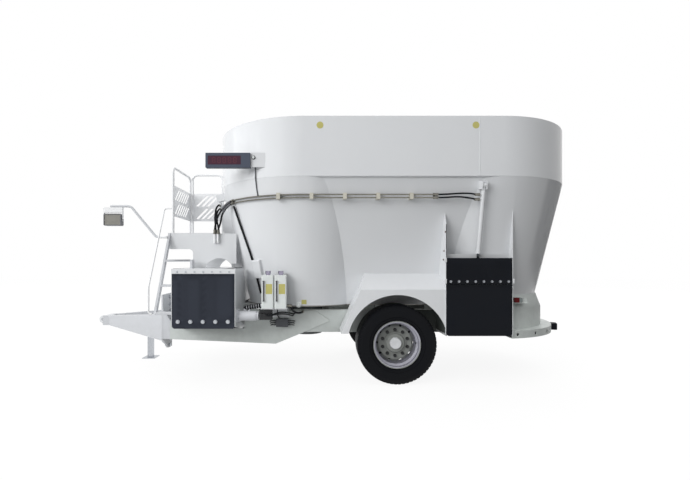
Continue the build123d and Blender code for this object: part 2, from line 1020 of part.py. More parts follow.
def drawbar_gusset():
    # A three-cornered web under the leg, against the flange
    rear_x = head_x - head_plate
    middle = -leg_rear_half + leg_width / 2
    outline = [(rear_x, head_bottom_z), (rear_x, leg_rear_top_z), (rear_x - head_gusset_length, leg_rear_top_z),
               (rear_x - head_gusset_length, leg_rear_bottom_z)]
    web = slab_y(outline, middle - head_gusset_sheet / 2, middle + head_gusset_sheet / 2) - drawbar_leg()
    return min(web.solids(), key=lambda piece: piece.center().Z)


def drawbar():
    flange = head_plates()[1]
    nose = block(nose_front_x, nose_rear_x, -nose_half, nose_half, hitch_z - nose_half_height,
                 hitch_z + nose_half_height)
    nose -= rod((nose_front_x - far, 0, hitch_z), (nose_rear_x + far, 0, hitch_z),
                hitch_shank_radius + running_gap)
    return pair(drawbar_leg()) + [nose, flange] + pair(drawbar_gusset())


def hitch_eye():
    # The eye's shank turns in the nose and is held by a nut behind it
    ring = rod((hitch_x, -hitch_thickness / 2, hitch_z), (hitch_x, hitch_thickness / 2, hitch_z),
               hitch_outer_radius)
    ring = fillet(ring.edges(), hitch_thickness / 5)
    start = hitch_x + (hitch_bore_radius + hitch_outer_radius) / 2
    shank = rod((start, 0, hitch_z), (nose_rear_x + hitch_shank_end, 0, hitch_z), hitch_shank_radius)
    collar = rod((nose_front_x - hitch_collar, 0, hitch_z), (nose_front_x - seat_gap, 0, hitch_z),
                 hitch_collar_radius)
    frame = Plane(origin=(nose_rear_x + seat_gap, 0, hitch_z), z_dir=(1, 0, 0)).location
    nut = frame * extrude(RegularPolygon(hitch_nut_radius, 6), amount=hitch_nut)
    eye = ring + shank + collar + nut
    return eye - rod((hitch_x, -hitch_thickness, hitch_z), (hitch_x, hitch_thickness, hitch_z),
                     hitch_bore_radius)


def stand_tube():
    half = stand_tube_size / 2
    bore = half - stand_tube_wall
    tube = block(stand_x - half, stand_x + half, stand_y - half, stand_y + half, stand_tube_bottom_z,
                 stand_tube_top_z)
    tube -= block(stand_x - bore, stand_x + bore, stand_y - bore, stand_y + bore, stand_tube_bottom_z,
                  stand_tube_top_z)
    share = (head_x - head_plate - stand_x) / (head_x - head_plate - nose_rear_x)
    leg_middle = leg_rear_half + (nose_half - leg_rear_half) * share - leg_width / 2
    bracket = block(stand_x - half, stand_x + half, leg_middle, stand_y - half, hitch_z - stand_bracket_low,
                    hitch_z + stand_bracket_high)
    bracket -= mirrored(drawbar_leg())
    return tube + max(bracket.solids(), key=lambda piece: piece.volume)


def stand_leg():
    half = stand_tube_size / 2 - stand_tube_wall - sliding_gap
    bore = half - stand_tube_wall
    leg = block(stand_x - half, stand_x + half, stand_y - half, stand_y + half, stand_foot_thickness,
                stand_leg_top_z)
    leg -= block(stand_x - bore, stand_x + bore, stand_y - bore, stand_y + bore, stand_foot_thickness,
                 stand_leg_top_z)
    foot = stand_foot_size / 2
    return leg + block(stand_x - foot, stand_x + foot, stand_y - foot, stand_y + foot, 0, stand_foot_thickness)


# Rear base and lamps

def behind_outlet(shape):
    return shape - block(-far, outlet_rear_x, -far, far, 0, far)


def rear_skirt():
    top = cone_radius(skirt_top_z)
    foot = base_bottom_z + base_plate
    wall = [(skirt_radius - skirt_sheet, foot), (skirt_radius, foot), (skirt_radius, skirt_break_z),
            (top + skirt_sheet, skirt_top_z), (top - skirt_sheet, skirt_top_z),
            (skirt_radius - skirt_sheet, skirt_break_z)]
    skirt = behind_outlet(turned(wall, rear_auger_x, 0)) - tub_cone(rear_auger_x, 0)
    flange = base_radius - base_plate
    base = [(base_inner_radius, base_bottom_z), (base_radius, base_bottom_z), (base_radius, base_top_z),
            (skirt_radius, base_top_z), (skirt_radius, base_top_z - base_plate),
            (flange, base_top_z - base_plate), (flange, base_bottom_z + base_plate),
            (base_inner_radius, base_bottom_z + base_plate)]
    ring = behind_outlet(turned(base, rear_auger_x, 0))
    middle = (base_bottom_z + base_top_z) / 2
    for i in range(base_holes):
        turn = math.radians(base_hole_start + i * base_hole_step - 90)
        inside = around(rear_auger_x, flange - base_hole_radius, turn, middle)
        outside = around(rear_auger_x, base_radius + base_hole_radius, turn, middle)
        for hole in pair(rod(inside, outside, base_hole_radius)):
            ring -= hole
    return [skirt, ring]


def rear_buffer():
    turn = math.radians(buffer_turn)
    place = Vector(*around(rear_auger_x, base_radius, turn, (base_bottom_z + base_top_z) / 2))
    frame = Plane(origin=place, x_dir=(math.cos(turn), math.sin(turn), 0), z_dir=(0, 0, 1)).location
    pad = frame * Box(2 * buffer_depth, buffer_length, base_top_z - base_bottom_z - 2 * buffer_edge)
    pad = fillet(pad.edges().filter_by(Axis.Z), buffer_depth / 3)
    return pad - Pos(rear_auger_x, 0, 0) * post(base_radius, far)


def lamp_shelf_top():
    return (skirt_break_z + skirt_top_z) / 2


def rear_lamp():
    top = lamp_shelf_top()
    x0 = outlet_rear_x + rear_lamp_gap
    lamp = block(x0, x0 + rear_lamp_width, -skirt_radius, -skirt_radius + rear_lamp_depth, top,
                 top + rear_lamp_height)
    return fillet(lamp.edges().filter_by(Axis.Y), rear_lamp_corner)


def lamp_shelf():
    top = lamp_shelf_top()
    x0 = outlet_rear_x + rear_lamp_gap - lamp_shelf_edge
    shelf = block(x0, x0 + lamp_shelf_width, -skirt_radius - lamp_shelf_lip, -rail_half,
                  top - lamp_shelf_sheet, top)
    tab = outlet_rear_x + rear_lamp_gap + rear_lamp_width + lamp_tab_gap
    shelf += block(tab, tab + lamp_tab_width, -skirt_radius, -skirt_radius + lamp_tab_sheet, top,
                   top + lamp_tab_height)
    shelf = shelf - tub_cone(rear_auger_x, 0) - rear_skirt()[0]
    return max(shelf.solids(), key=lambda piece: -piece.center().Y)


# Fenders

def fender_front_x(z):
    lean = (fender_front_high_x - fender_front_low_x) / (fender_edge_z - fender_bottom_z)
    return fender_front_low_x + lean * (z - fender_bottom_z)


def fender_hood(inset):
    inside = -rail_half - rail_plate
    outside = -fender_outer_y + inset
    low = fender_bottom_z - 2 * inset
    profile = [(outside, low), (outside, fender_edge_z - inset), (-fender_wall_y, fender_wall_z - inset),
               (inside, fender_wall_z - inset), (inside, low)]
    body = slab_x(profile, fender_front_low_x, outlet_front_x - inset)
    ahead = [(fender_front_x(0) + inset, 0), (fender_front_x(fender_wall_z) + inset, fender_wall_z),
             (-far, fender_wall_z), (-far, 0)]
    return body - slab_y(ahead, -far, far)


def fender():
    arch = rod((axle_x, -far, axle_z), (axle_x, 0, axle_z), fender_arch_radius)
    near = block(-far, far, -far, -fender_outer_y + fender_sheet, 0, far)
    shell = fender_hood(0) - fender_hood(fender_sheet) - (arch & near)
    shell -= block(-far, far, -rail_half - rail_plate - fender_chassis_gap, 0, 0, far)
    shell = clear_of_tub(shell) - floor_outline()
    return max(shell.solids(), key=lambda piece: piece.volume)


# Side outlet

def wall_point(z, offset):
    # The Y of the side door's plane at height z, a level distance outside the cone
    return -(cone_radius(z) + offset)


def outlet_rail(x, top, tuck):
    inside = -rail_half - rail_plate
    outline = [(outlet_face_y, outlet_bottom_z), (outlet_face_y, outlet_rail_corner_z),
               (wall_point(top, -tuck), top), (inside, top), (inside, outlet_bottom_z)]
    plate = clear_of_tub(slab_x(outline, x, x + outlet_plate)) - floor_outline()
    return max(plate.solids(), key=lambda piece: piece.volume)


def outlet_inside():
    return outlet_front_x + outlet_plate, outlet_rear_x - outlet_plate


def outlet_plates():
    x0, x1 = outlet_inside()
    top = outlet_opening_top_z
    lintel = block(x0, x1, wall_point(top, door_wall_gap - sliding_gap), -rail_half, top, top + outlet_plate)
    lintel = clear_of_tub(lintel)
    sill_y = outlet_face_y + sill_setback
    sill = block(x0, x1, sill_y, -rail_half, tub_floor_z, floor_top) - floor_outline()
    chute_y = outlet_face_y + chute_setback
    chute_z = outlet_bottom_z + chute_rise
    chute = slab_x([(sill_y, floor_top), (chute_y, chute_z), (chute_y + chute_sheet, chute_z - chute_bevel),
                    (sill_y, floor_top - chute_root)], x0, x1)
    bar_y = outlet_face_y + rubber_thickness
    bar = block(x0, x1, bar_y, bar_y + door_thickness, outlet_bolt_z - outlet_bar_half,
                outlet_bolt_z + outlet_bar_half)
    for place in outlet_bolt_places():
        bar -= bolt_hole(place, (0, 1, 0), rubber_thickness + door_thickness, outlet_bolt_radius)
    hinge_z = rubber_split_z - flap_bead_radius
    hinge = rod((x0, hinge_y(), hinge_z), (x1, hinge_y(), hinge_z), pin_radius)
    return [lintel, sill, chute, bar, hinge]


def hinge_y():
    return outlet_face_y + rubber_thickness / 2


def outlet_bolt_places():
    x0, x1 = outlet_inside()
    row = spread(x0 + outlet_bolt_edge, x1 - outlet_bolt_edge, outlet_bolts)
    return [(x, outlet_face_y, outlet_bolt_z) for x in row]


def outlet_seal():
    x0, x1 = outlet_inside()
    sheet = block(x0 + seat_gap, x1 - seat_gap, outlet_face_y, outlet_face_y + rubber_thickness,
                  rubber_split_z + seal_gap, rubber_top_z)
    for place in outlet_bolt_places():
        sheet -= bolt_hole(place, (0, 1, 0), rubber_thickness + door_thickness, outlet_bolt_radius)
    return sheet


def hung_sheet(x0, x1, y, top_z, bottom_z, thickness):
    # A rubber sheet whose top is rolled round a hinge pin
    axis_z = top_z - flap_bead_radius
    sheet = block(x0, x1, y - thickness / 2, y + thickness / 2, bottom_z, axis_z)
    sheet = fillet(sheet.edges().filter_by(Axis.Y).group_by(Axis.Z)[0], 3 * thickness)
    sheet += rod((x0, y, axis_z), (x1, y, axis_z), flap_bead_radius)
    return sheet - rod((x0, y, axis_z), (x1, y, axis_z), pin_radius + running_gap)


def outlet_curtain():
    x0, x1 = outlet_inside()
    return hung_sheet(x0 + 2 * sliding_gap, x1 - 2 * sliding_gap, hinge_y(), rubber_split_z, outlet_bottom_z,
                      rubber_thickness)


def side_slope(z, offset):
    # A frame on the side door's line of travel: its Z runs up the slope of the cone
    return Plane(origin=(outlet_x, wall_point(z, offset), z), x_dir=(1, 0, 0),
                 z_dir=(0, -cone_slope, 1)).location


def front_slope(z, offset):
    x = front_auger_x - cone_radius(z) - offset
    return Plane(origin=(x, front_cylinder_y, z), x_dir=(0, -1, 0), z_dir=(-cone_slope, 0, 1)).location


def slope_length(low, high):
    return (high - low) * math.sqrt(1 + cone_slope ** 2)


def cross_pin(half, radius):
    # A pin across the cylinder's line, as long to either side
    return Pos(-half, 0, 0) * Rot(0, 90, 0) * post(radius, 2 * half)


def cylinder_barrel(slope, port_side):
    place = slope(barrel_bottom_z, door_wall_gap + cylinder_offset)
    length = slope_length(barrel_bottom_z, barrel_top_z)
    barrel = place * post(barrel_radius, length)
    barrel += place * post(barrel_radius + gland_lip, gland_length)
    eye = slope_length(barrel_bottom_z, clevis_z)
    barrel += place * Pos(0, 0, length) * post(barrel_radius - barrel_neck_inset, eye - length)
    barrel += place * Pos(0, 0, eye) * cross_pin(barrel_eye_half, cylinder_eye_radius)
    for z in port_heights():
        port = slope_length(barrel_bottom_z, z)
        boss = Rot(0, 90 * port_side, 0) * post(port_radius, barrel_radius + port_height)
        barrel += place * Pos(0, 0, port) * boss
    barrel -= place * post(rod_radius + running_gap, length - barrel_cap)
    return barrel - place * Pos(0, 0, eye) * cross_pin(eye_bore_half, clevis_pin_radius + running_gap)


def port_heights():
    return [barrel_top_z - port_drop, barrel_top_z - port_drop - port_pitch]


def cylinder_bracket(slope):
    # Two ears that stand on the tub's wall and hold the barrel's eye on a pin
    place = slope(clevis_z, door_wall_gap + cylinder_offset)
    ears = []
    hole = place * cross_pin(ear_bore_half, clevis_pin_radius)
    for side in (-1, 1):
        plate = Pos(side * ear_offset, ear_reach / 2 - ear_edge, 0) * Box(ear_sheet, ear_reach, ear_height)
        ear = clear_of_tub(place * plate) - hole
        ears.append(max(ear.solids(), key=lambda piece: piece.volume))
    return ears + [place * cross_pin(ear_pin_half, clevis_pin_radius)]


def door_rod(slope):
    place = slope(rod_eye_z, door_wall_gap + cylinder_offset)
    length = slope_length(rod_eye_z, barrel_bottom_z) + rod_lap
    shaft = place * post(rod_radius, length)
    shaft += place * cross_pin(rod_eye_half, cylinder_eye_radius)
    return shaft - place * cross_pin(eye_bore_half, clevis_pin_radius + running_gap)


def door_lug(slope):
    # Two ears on the door, with the pin that holds the rod's eye
    place = slope(rod_eye_z, door_wall_gap + cylinder_offset)
    depth = cylinder_offset - door_thickness + lug_edge
    lugs = place * cross_pin(lug_pin_half, clevis_pin_radius)
    offset = rod_eye_half + seat_gap + lug_sheet / 2
    for side in (-1, 1):
        lugs += place * Pos(side * offset, depth / 2 - lug_edge, 0) * Box(lug_sheet, depth, lug_height)
    return lugs


def side_door():
    x0, x1 = outlet_inside()
    low = floor_top + seat_gap
    gap = door_wall_gap
    outline = [(wall_point(low, gap), low), (wall_point(door_top_z, gap), door_top_z),
               (wall_point(door_top_z, gap + door_thickness), door_top_z),
               (wall_point(low, gap + door_thickness), low)]
    door = slab_x(outline, x0 + sliding_gap, x1 - sliding_gap)
    return [door + door_lug(side_slope), door_rod(side_slope)]


# Front outlet

def front_rail():
    side = -front_outlet_half
    outer = door_wall_gap + door_thickness + front_rail_depth
    low = conveyor_top_z + front_rail_foot
    outline = [(front_auger_x - cone_radius(low) - outer, low),
               (front_auger_x - cone_radius(front_rail_top_z) - outer, front_rail_top_z),
               (front_auger_x - tub_radius / 2, front_rail_top_z), (front_auger_x - tub_radius / 2, low)]
    plate = slab_y(outline, side - outlet_plate, side)
    plate -= tub_cone(front_auger_x, 0)
    return max(plate.solids(), key=lambda piece: -piece.center().X)


def front_door():
    low = floor_top + seat_gap
    gap = door_wall_gap
    outline = []
    for z, offset in ((low, gap), (front_door_top_z, gap), (front_door_top_z, gap + door_thickness),
                      (low, gap + door_thickness)):
        outline.append((front_auger_x - cone_radius(z) - offset, z))
    reach = front_outlet_half - sliding_gap
    door = slab_y(outline, -reach, reach)
    return [door + door_lug(front_slope), door_rod(front_slope)]


# Cross conveyor

def conveyor_plates():
    top = conveyor_top_z
    low = front_plate_top_z
    x0, x1 = conveyor_inside()
    front = block(conveyor_front_x, x0, -conveyor_end_y, conveyor_end_y, low, top)
    rear = block(x1, conveyor_rear_x, -conveyor_end_y, conveyor_end_y, low, top)
    for y in (-roller_y, roller_y):
        bore = rod((-far, y, roller_z), (0, y, roller_z), roller_shaft_radius + running_gap)
        front -= bore
        rear -= bore
    reach = cone_radius(top) + door_wall_gap + door_thickness + conveyor_door_room
    notch = Cone(cone_bottom_radius + door_wall_gap, reach, top - tub_floor_z + cut_over,
                 align=(Align.CENTER, Align.CENTER, Align.MIN))
    rear -= Pos(front_auger_x, 0, tub_floor_z) * notch
    half = front_outlet_half + conveyor_door_room
    rear -= block(conveyor_rear_x - far, conveyor_rear_x + cut_over, -half, half,
                  tub_floor_z - conveyor_floor_gap, top)
    inside = rail_half + rail_plate
    corner = slab_x([(-conveyor_end_y, low), (-inside, low), (-conveyor_end_y, low + conveyor_end_rise)],
                    conveyor_front_x, conveyor_rear_x)
    for cut in pair(corner):
        front -= cut
        rear -= cut
    return [front] + list(rear.solids())


def conveyor_inside():
    return conveyor_front_x + conveyor_plate, conveyor_rear_x - conveyor_plate


def conveyor_bed():
    x0, x1 = conveyor_inside()
    low = front_plate_top_z
    pan = block(x0, x1, -rail_half, rail_half, low, low + conveyor_plate)
    slide_top = roller_z + roller_radius - seat_gap
    slider_half = roller_y - slider_end_gap
    slider = block(x0, x1, -slider_half, slider_half, slide_top - conveyor_plate, slide_top)
    top = conveyor_top_z
    beams = []
    for side in (-1, 1):
        beams.append(block(x0, x1, side * conveyor_end_y, side * (conveyor_end_y - end_beam_depth),
                           top - end_beam_height, top))
    cover_half = conveyor_end_y - end_beam_depth
    cover = block(x0, conveyor_rear_x - cover_setback, -cover_half, cover_half, top - conveyor_plate, top)
    end_plate = block(x0, x1, conveyor_end_y - conveyor_plate, conveyor_end_y, flap_bottom_z,
                      top - end_beam_height)
    hinge = rod((x0, flap_y(), flap_axis_z()), (x1, flap_y(), flap_axis_z()), pin_radius)
    return [pan, slider, cover, end_plate, hinge] + beams


def flap_y():
    return -conveyor_end_y + flap_thickness / 2 + flap_setback


def flap_axis_z():
    return conveyor_top_z - end_beam_height - seat_gap - flap_bead_radius


def conveyor_belt():
    x0, x1 = conveyor_inside()

    def loop(radius):
        run = block(x0 + belt_edge_gap, x1 - belt_edge_gap, -roller_y, roller_y, roller_z - radius,
                    roller_z + radius)
        for y in (-roller_y, roller_y):
            run += rod((x0 + belt_edge_gap, y, roller_z), (x1 - belt_edge_gap, y, roller_z), radius)
        return run

    inner = roller_radius + seat_gap
    return loop(inner + belt_thickness) - loop(inner)


def roller(y, shaft_end):
    x0, x1 = conveyor_inside()
    drum = rod((x0 + belt_edge_gap, y, roller_z), (x1 - belt_edge_gap, y, roller_z), roller_radius)
    front = conveyor_front_x - roller_shaft_stub
    return drum + rod((front, y, roller_z), (shaft_end, y, roller_z), roller_shaft_radius)


def conveyor_motor():
    y = -roller_y
    start = conveyor_rear_x
    can_start = start + motor_flange
    can_end = start + motor_length - motor_cap
    body = rod((start, y, roller_z), (can_start, y, roller_z), motor_radius + motor_flange_lip)
    body += rod((can_start, y, roller_z), (can_end, y, roller_z), motor_radius)
    body += rod((can_end, y, roller_z), (start + motor_length, y, roller_z), motor_radius - motor_cap_inset)
    first = start + motor_length - motor_port_setback
    for x in (first, first + motor_port_pitch):
        body += rod((x, y, roller_z), (x, y, roller_z + motor_radius + motor_port_height), motor_port_radius)
    bore = roller_shaft_radius + running_gap
    return body - rod((start, y, roller_z), (start + motor_bore, y, roller_z), bore)


def conveyor_flap():
    x0, x1 = conveyor_inside()
    top = flap_axis_z() + flap_bead_radius
    flap = hung_sheet(x0 + 2 * sliding_gap, x1 - 2 * sliding_gap, flap_y(), top, flap_bottom_z, flap_thickness)
    for place in flap_bolt_places():
        flap -= bolt_hole(place, (0, 1, 0), 2 * flap_thickness, flap_bolt_radius)
    return flap


def flap_bolt_places():
    x0, x1 = conveyor_inside()
    y = flap_y() - flap_thickness / 2
    row = spread(x0 + flap_bolt_front_edge, x1 - flap_bolt_rear_edge, flap_bolts)
    return [(x, y, flap_bolt_z) for x in row]


def flap_weight():
    # A steel bar behind the flap, with the bolts that hold it
    x0, x1 = conveyor_inside()
    y = flap_y() + flap_thickness / 2
    bar = block(x0 + flap_bar_edge, x1 - flap_bar_edge, y, y + flap_bar_sheet, flap_bolt_z - flap_bar_half,
                flap_bolt_z + flap_bar_half)
    bolts = []
    for place in flap_bolt_places():
        bar -= bolt_hole(place, (0, 1, 0), 2 * flap_thickness, flap_bolt_radius)
        bolts.append(hex_bolt(place, (0, 1, 0), flap_thickness + flap_bar_sheet, flap_bolt_radius))
    return [bar] + bolts


# Platform, railing and ladder

def platform():
    deck = block(deck_front_x, deck_rear_x, deck_near_y, deck_far_y, deck_z - deck_thickness, deck_z)
    under = deck_z - deck_thickness
    base = conveyor_top_z
    sheet = deck_thickness
    rear = front_auger_x - cone_radius(under)
    lap = rear + side_plate_lap
    side = slab_y([(deck_front_x, under), (lap, under), (lap, base), (deck_front_x, base)],
                  deck_near_y, deck_near_y + sheet)
    arch_top = base + (under - base) * arch_share
    arch_x = deck_front_x + arch_width
    first = block(deck_front_x - far, arch_x, -far, far, base - sheet, arch_top)
    corner = first.edges().filter_by(Axis.Y).sort_by(lambda edge: edge.center().X + edge.center().Z)[-1]
    first = fillet(corner, arch_corner)
    small_x = deck_rear_x + small_arch_gap
    small_z = base - small_arch_drop
    second = rod((small_x, -far, small_z), (small_x, far, small_z), small_arch_radius)
    side -= first
    side -= second
    side = side - tub_cone(front_auger_x, 0)
    side -= block(front_auger_x - cone_radius(base) - small_arch_drop, 0, -far, far, 0, base + small_arch_drop)
    for x in fitting_lines():
        side -= rod((x, -far, fitting_low_z), (x, far, fitting_low_z), fitting_radius + bolt_gap)
    near = max(side.solids(), key=lambda piece: piece.volume)
    inner = block(deck_front_x + inner_plate_setback, deck_rear_x, deck_far_y - sheet, deck_far_y, base, under)
    inner -= second
    return [deck, near, inner]


def railing_lines():
    edge = railing_radius + railing_edge
    front = deck_front_x + railing_setback
    return front, deck_near_y + edge, deck_far_y - edge, deck_rear_x - railing_end_gap


def railing():
    x, near, inner, end = railing_lines()
    top = railing_top_z
    front = bent_tube([(x, near, deck_z), (x, near, top), (x, inner, top), (x, inner, deck_z)],
                      railing_bend, railing_radius)
    start = x + railing_pair
    high = railing_top_z + railing_side_rise
    side = bent_tube([(start, inner, deck_z), (start, inner, high), (end, inner, high), (end, inner, deck_z)],
                     railing_bend, railing_radius)
    return [front, side]


def handrail():
    # A thin tube from the ladder's foot, up beside the front stringer to the platform's post
    x = deck_front_x - handrail_gap
    post_x, near, _, _ = railing_lines()
    foot = ladder_foot_z + tread_thickness / 2
    low = ladder_foot_z + handrail_knee
    high = deck_z + handrail_rise
    points = [(x + handrail_foot, ladder_foot_y, foot), (x, ladder_foot_y, foot), (x, ladder_foot_y, low),
              (x, near, high), (post_x - railing_radius, near, high)]
    return bent_tube(points, handrail_bend, handrail_radius)


def railing_panel(width, height):
    # A sheet with two bands of slanting slots
    sheet = Box(width, panel_thickness, height)
    margin = slot_width
    band = (height - 3 * margin) / 2
    count = int((width - 2 * margin - band) / slot_pitch) + 1
    used = (count - 1) * slot_pitch + slot_width + band
    for low in (-height / 2 + margin, margin / 2):
        for i in range(count):
            x = -used / 2 + i * slot_pitch
            high = low + band
            outline = [(x, low), (x + slot_width, low), (x + slot_width + band, high), (x + band, high)]
            sheet -= slab_y(outline, -panel_thickness, panel_thickness)
    return sheet


def railing_panels():
    x, near, inner, end = railing_lines()
    height = panel_high_z - panel_low_z
    middle = (panel_high_z + panel_low_z) / 2
    front_width = inner - near - 2 * railing_radius
    start = x + railing_pair
    side_width = end - start - 2 * railing_radius
    front = Pos(x, (near + inner) / 2, middle) * Rot(0, 0, 90) * railing_panel(front_width, height)
    side = Pos((start + end) / 2, inner, middle) * railing_panel(side_width, height)
    return [front, side]


def ladder():
    lean = (deck_near_y - ladder_foot_y) / (deck_z - ladder_foot_z)
    front_x = deck_front_x + stringer_depth / 2
    outline = [(ladder_foot_y, ladder_foot_z), (deck_near_y, deck_z),
               (deck_near_y, deck_z - stringer_width / lean), (ladder_foot_y + stringer_width, ladder_foot_z)]
    front = slab_x(outline, deck_front_x, deck_front_x + stringer_depth)
    treads = []
    middle_z = ladder_foot_z + lower_tread_rise
    inner_end = front_x + ladder_width - stringer_depth / 2
    for z, end in ((ladder_foot_z, conveyor_front_x), (middle_z, conveyor_front_x),
                   (middle_z + upper_tread_rise, inner_end)):
        y = ladder_foot_y + lean * (z - ladder_foot_z)
        tread = block(front_x + stringer_depth / 2, end, y, y + tread_depth, z, z + tread_thickness)
        treads.append(tread)
    post_top = middle_z + upper_tread_rise + tread_thickness
    support = block(inner_end, inner_end + stringer_depth, y, y + tread_depth, conveyor_top_z, post_top)
    return [front, support] + treads


def lamp_arm():
    # A bent tube from the platform, with a deep yoke under its end that carries the lamp's pivot pins
    y = lamp_pivot_y()
    low = deck_z - lamp_arm_drop
    high = lamp_z + lamp_arm_rise
    points = [(deck_front_x, y, low), (deck_front_x - lamp_arm_straight, y, low),
              (deck_front_x - lamp_arm_reach, y, high), (lamp_x - lamp_arm_over, y, high)]
    arm = bent_tube(points, lamp_arm_bend, lamp_arm_radius)
    half = lamp_width / 2 + lamp_yoke_gap
    edge = lamp_yoke_width / 2
    top = high - lamp_arm_radius
    yoke = block(lamp_x - half - lamp_yoke_sheet, lamp_x + half + lamp_yoke_sheet, y - edge, y + edge,
                 lamp_z - edge, top)
    yoke -= block(lamp_x - half, lamp_x + half, y - edge, y + edge, lamp_z - edge, lamp_z + lamp_crown_gap)
    return [arm, yoke - lamp_pins(running_gap)]


def lamp_pivot_y():
    return deck_near_y - lamp_side_gap


def lamp_pins(gap):
    reach = lamp_width / 2 + lamp_yoke_gap + 2 * lamp_yoke_sheet
    y = lamp_pivot_y()
    return rod((lamp_x - reach, y, lamp_z), (lamp_x + reach, y, lamp_z), lamp_pin_radius + gap)


def lamp_front_y():
    return lamp_pivot_y() - lamp_depth / 2


def lamp_box(inset, y0, y1):
    half = lamp_width / 2 - inset
    rise = lamp_height / 2 - inset
    return block(lamp_x - half, lamp_x + half, y0, y1, lamp_z - rise, lamp_z + rise)


def lamp_head():
    front = lamp_front_y()
    body = lamp_box(0, front, front + lamp_depth)
    body = fillet(body.edges().filter_by(Axis.Y), lamp_corner)
    return body + lamp_pins(0) - lamp_box(lamp_frame, front, front + lamp_depth / 2)


def lamp_glass():
    front = lamp_front_y() + lamp_glass_thickness
    return lamp_box(lamp_frame, front, front + lamp_glass_thickness)


# Hydraulics, tanks and electrics

def pipe_run(z):
    # Straight along the side, then round the front cone
    reach = cone_radius(pipe_z) + pipe_standoff
    start = Vector(pipe_rear_x, -reach, z)
    corner = Vector(front_auger_x, -reach, z)
    turn = math.radians(-90 - pipe_wrap)
    middle = math.radians(-90 - pipe_wrap / 2)
    last = Vector(front_auger_x + reach * math.cos(turn), reach * math.sin(turn), z)
    half = Vector(front_auger_x + reach * math.cos(middle), reach * math.sin(middle), z)
    path = Wire([Edge.make_line(start, corner), Edge.make_three_point_arc(corner, half, last)])
    section = Plane(origin=start, z_dir=(-1, 0, 0)) * Circle(pipe_radius)
    return sweep(section, path=path)


def side_pipes():
    return [pipe_run(pipe_z + pipe_gap / 2), pipe_run(pipe_z - pipe_gap / 2)]


def pipe_clips():
    reach = cone_radius(pipe_z) + pipe_standoff
    clips = []
    runs = side_pipes()
    for i in range(clip_count):
        x = pipe_rear_x - clip_end_gap - i * clip_pitch
        clip = block(x - clip_length / 2, x + clip_length / 2, -reach - clip_cover, -panel_bend_half,
                     pipe_z - pipe_gap / 2 - clip_edge, pipe_z + pipe_gap / 2 + clip_edge)
        clip = clear_of_tub(clip)
        for run in runs:
            clip -= run
        clips.append(max(clip.solids(), key=lambda piece: -piece.center().Y))
    return clips


def hose(points, radius):
    # A hose through the points, each corner rounded as far as its two runs allow
    corners = [Vector(*p) for p in points]
    bends = []
    for before, corner, after in zip(corners, corners[1:], corners[2:]):
        first = corner - before
        second = after - corner
        turn = math.radians(first.get_angle(second))
        bends.append(hose_bend_share * min(first.length, second.length) / math.tan(turn / 2))
    path = FilletPolyline(*corners, radius=bends)
    section = Plane(origin=path @ 0, z_dir=path % 0) * Circle(radius)
    return sweep(section, path=path)


def pipe_ends():
    return [pipe_z + pipe_gap / 2, pipe_z - pipe_gap / 2]


def side_hoses():
    # From the rear ends of the pipes to the side cylinder
    reach = cone_radius(pipe_z) + pipe_standoff
    lines = []
    for level, port_z in zip(pipe_ends(), port_heights()):
        y = wall_point(port_z, door_wall_gap + cylinder_offset)
        end = outlet_x - barrel_radius - port_height
        points = [(pipe_rear_x, -reach, level), (pipe_rear_x + 140, -reach, level),
                  (pipe_rear_x + 300, -reach - 8, level + 12), (end - 120, y - 4, port_z + 16),
                  (end - 50, y, port_z), (end, y, port_z)]
        lines.append(hose(points, hose_radius))
    return lines


def fitting_lines():
    return [fitting_x, fitting_x + fitting_pitch]


def fitting_out_y():
    return deck_near_y - fitting_standoff


def fitting_in_y():
    return deck_near_y + deck_thickness + fitting_standoff


def platform_fittings():
    # Elbows that take the two hoses through the platform's side plate
    pieces = []
    foot = fitting_low_z - fitting_radius
    for x in fitting_lines():
        elbow = rod((x, fitting_out_y(), foot), (x, fitting_out_y(), fitting_high_z), fitting_radius)
        elbow += rod((x, fitting_out_y(), fitting_low_z), (x, fitting_in_y(), fitting_low_z), fitting_radius)
        elbow += rod((x, fitting_in_y(), foot), (x, fitting_in_y(), fitting_inner_z), fitting_radius)
        pieces.append(elbow)
    return pieces


def offset_points(place, steps):
    return [tuple(Vector(*place) + Vector(*step)) for step in steps]


def outer_front_hoses():
    # From the front ends of the pipes down to the fittings
    reach = cone_radius(pipe_z) + pipe_standoff
    turn = math.radians(-90 - pipe_wrap)
    ahead = Vector(math.sin(turn), -math.cos(turn), 0) * hose_lead
    routes = (((154, -23, 400), (45, -8, 255), (0, 0, 90), (0, 0, 0)),
              ((129, -28, 370), (59, -8, 280), (34, -4, 140), (0, 0, 60), (0, 0, 0)))
    lines = []
    for level, x, steps in zip(pipe_ends(), fitting_lines(), routes):
        start = Vector(front_auger_x + reach * math.cos(turn), reach * math.sin(turn), level)
        points = [tuple(start), tuple(start + ahead)]
        points += offset_points((x, fitting_out_y(), fitting_high_z), steps)
        lines.append(hose(points, hose_radius))
    return lines


def inner_front_hoses():
    # From the fittings behind the plate up to the front cylinder
    routes = (((0, 0, 0), (-2, 5, 110), (-26, 40, 270), (-36, 130, 410)),
              ((0, 0, 0), (-3, 5, 90), (-41, 40, 220), (-71, 130, 355)))
    lines = []
    for x, port_z, steps in zip(fitting_lines(), port_heights(), routes):
        axis = front_auger_x - cone_radius(port_z) - door_wall_gap - cylinder_offset
        port = front_cylinder_y - barrel_radius - port_height
        points = offset_points((x, fitting_in_y(), fitting_inner_z), steps)
        points += offset_points((axis, port, port_z), ((-8, -95, -14), (0, -45, 0), (0, 0, 0)))
        lines.append(hose(points, hose_radius))
    return lines


def cone_place(turn, z, offset):
    # A point on the front cone at an angle from the wagon's front, a distance off its wall
    reach = cone_radius(z) + offset
    angle = math.radians(180 + turn)
    return (front_auger_x + reach * math.cos(angle), reach * math.sin(angle), z)


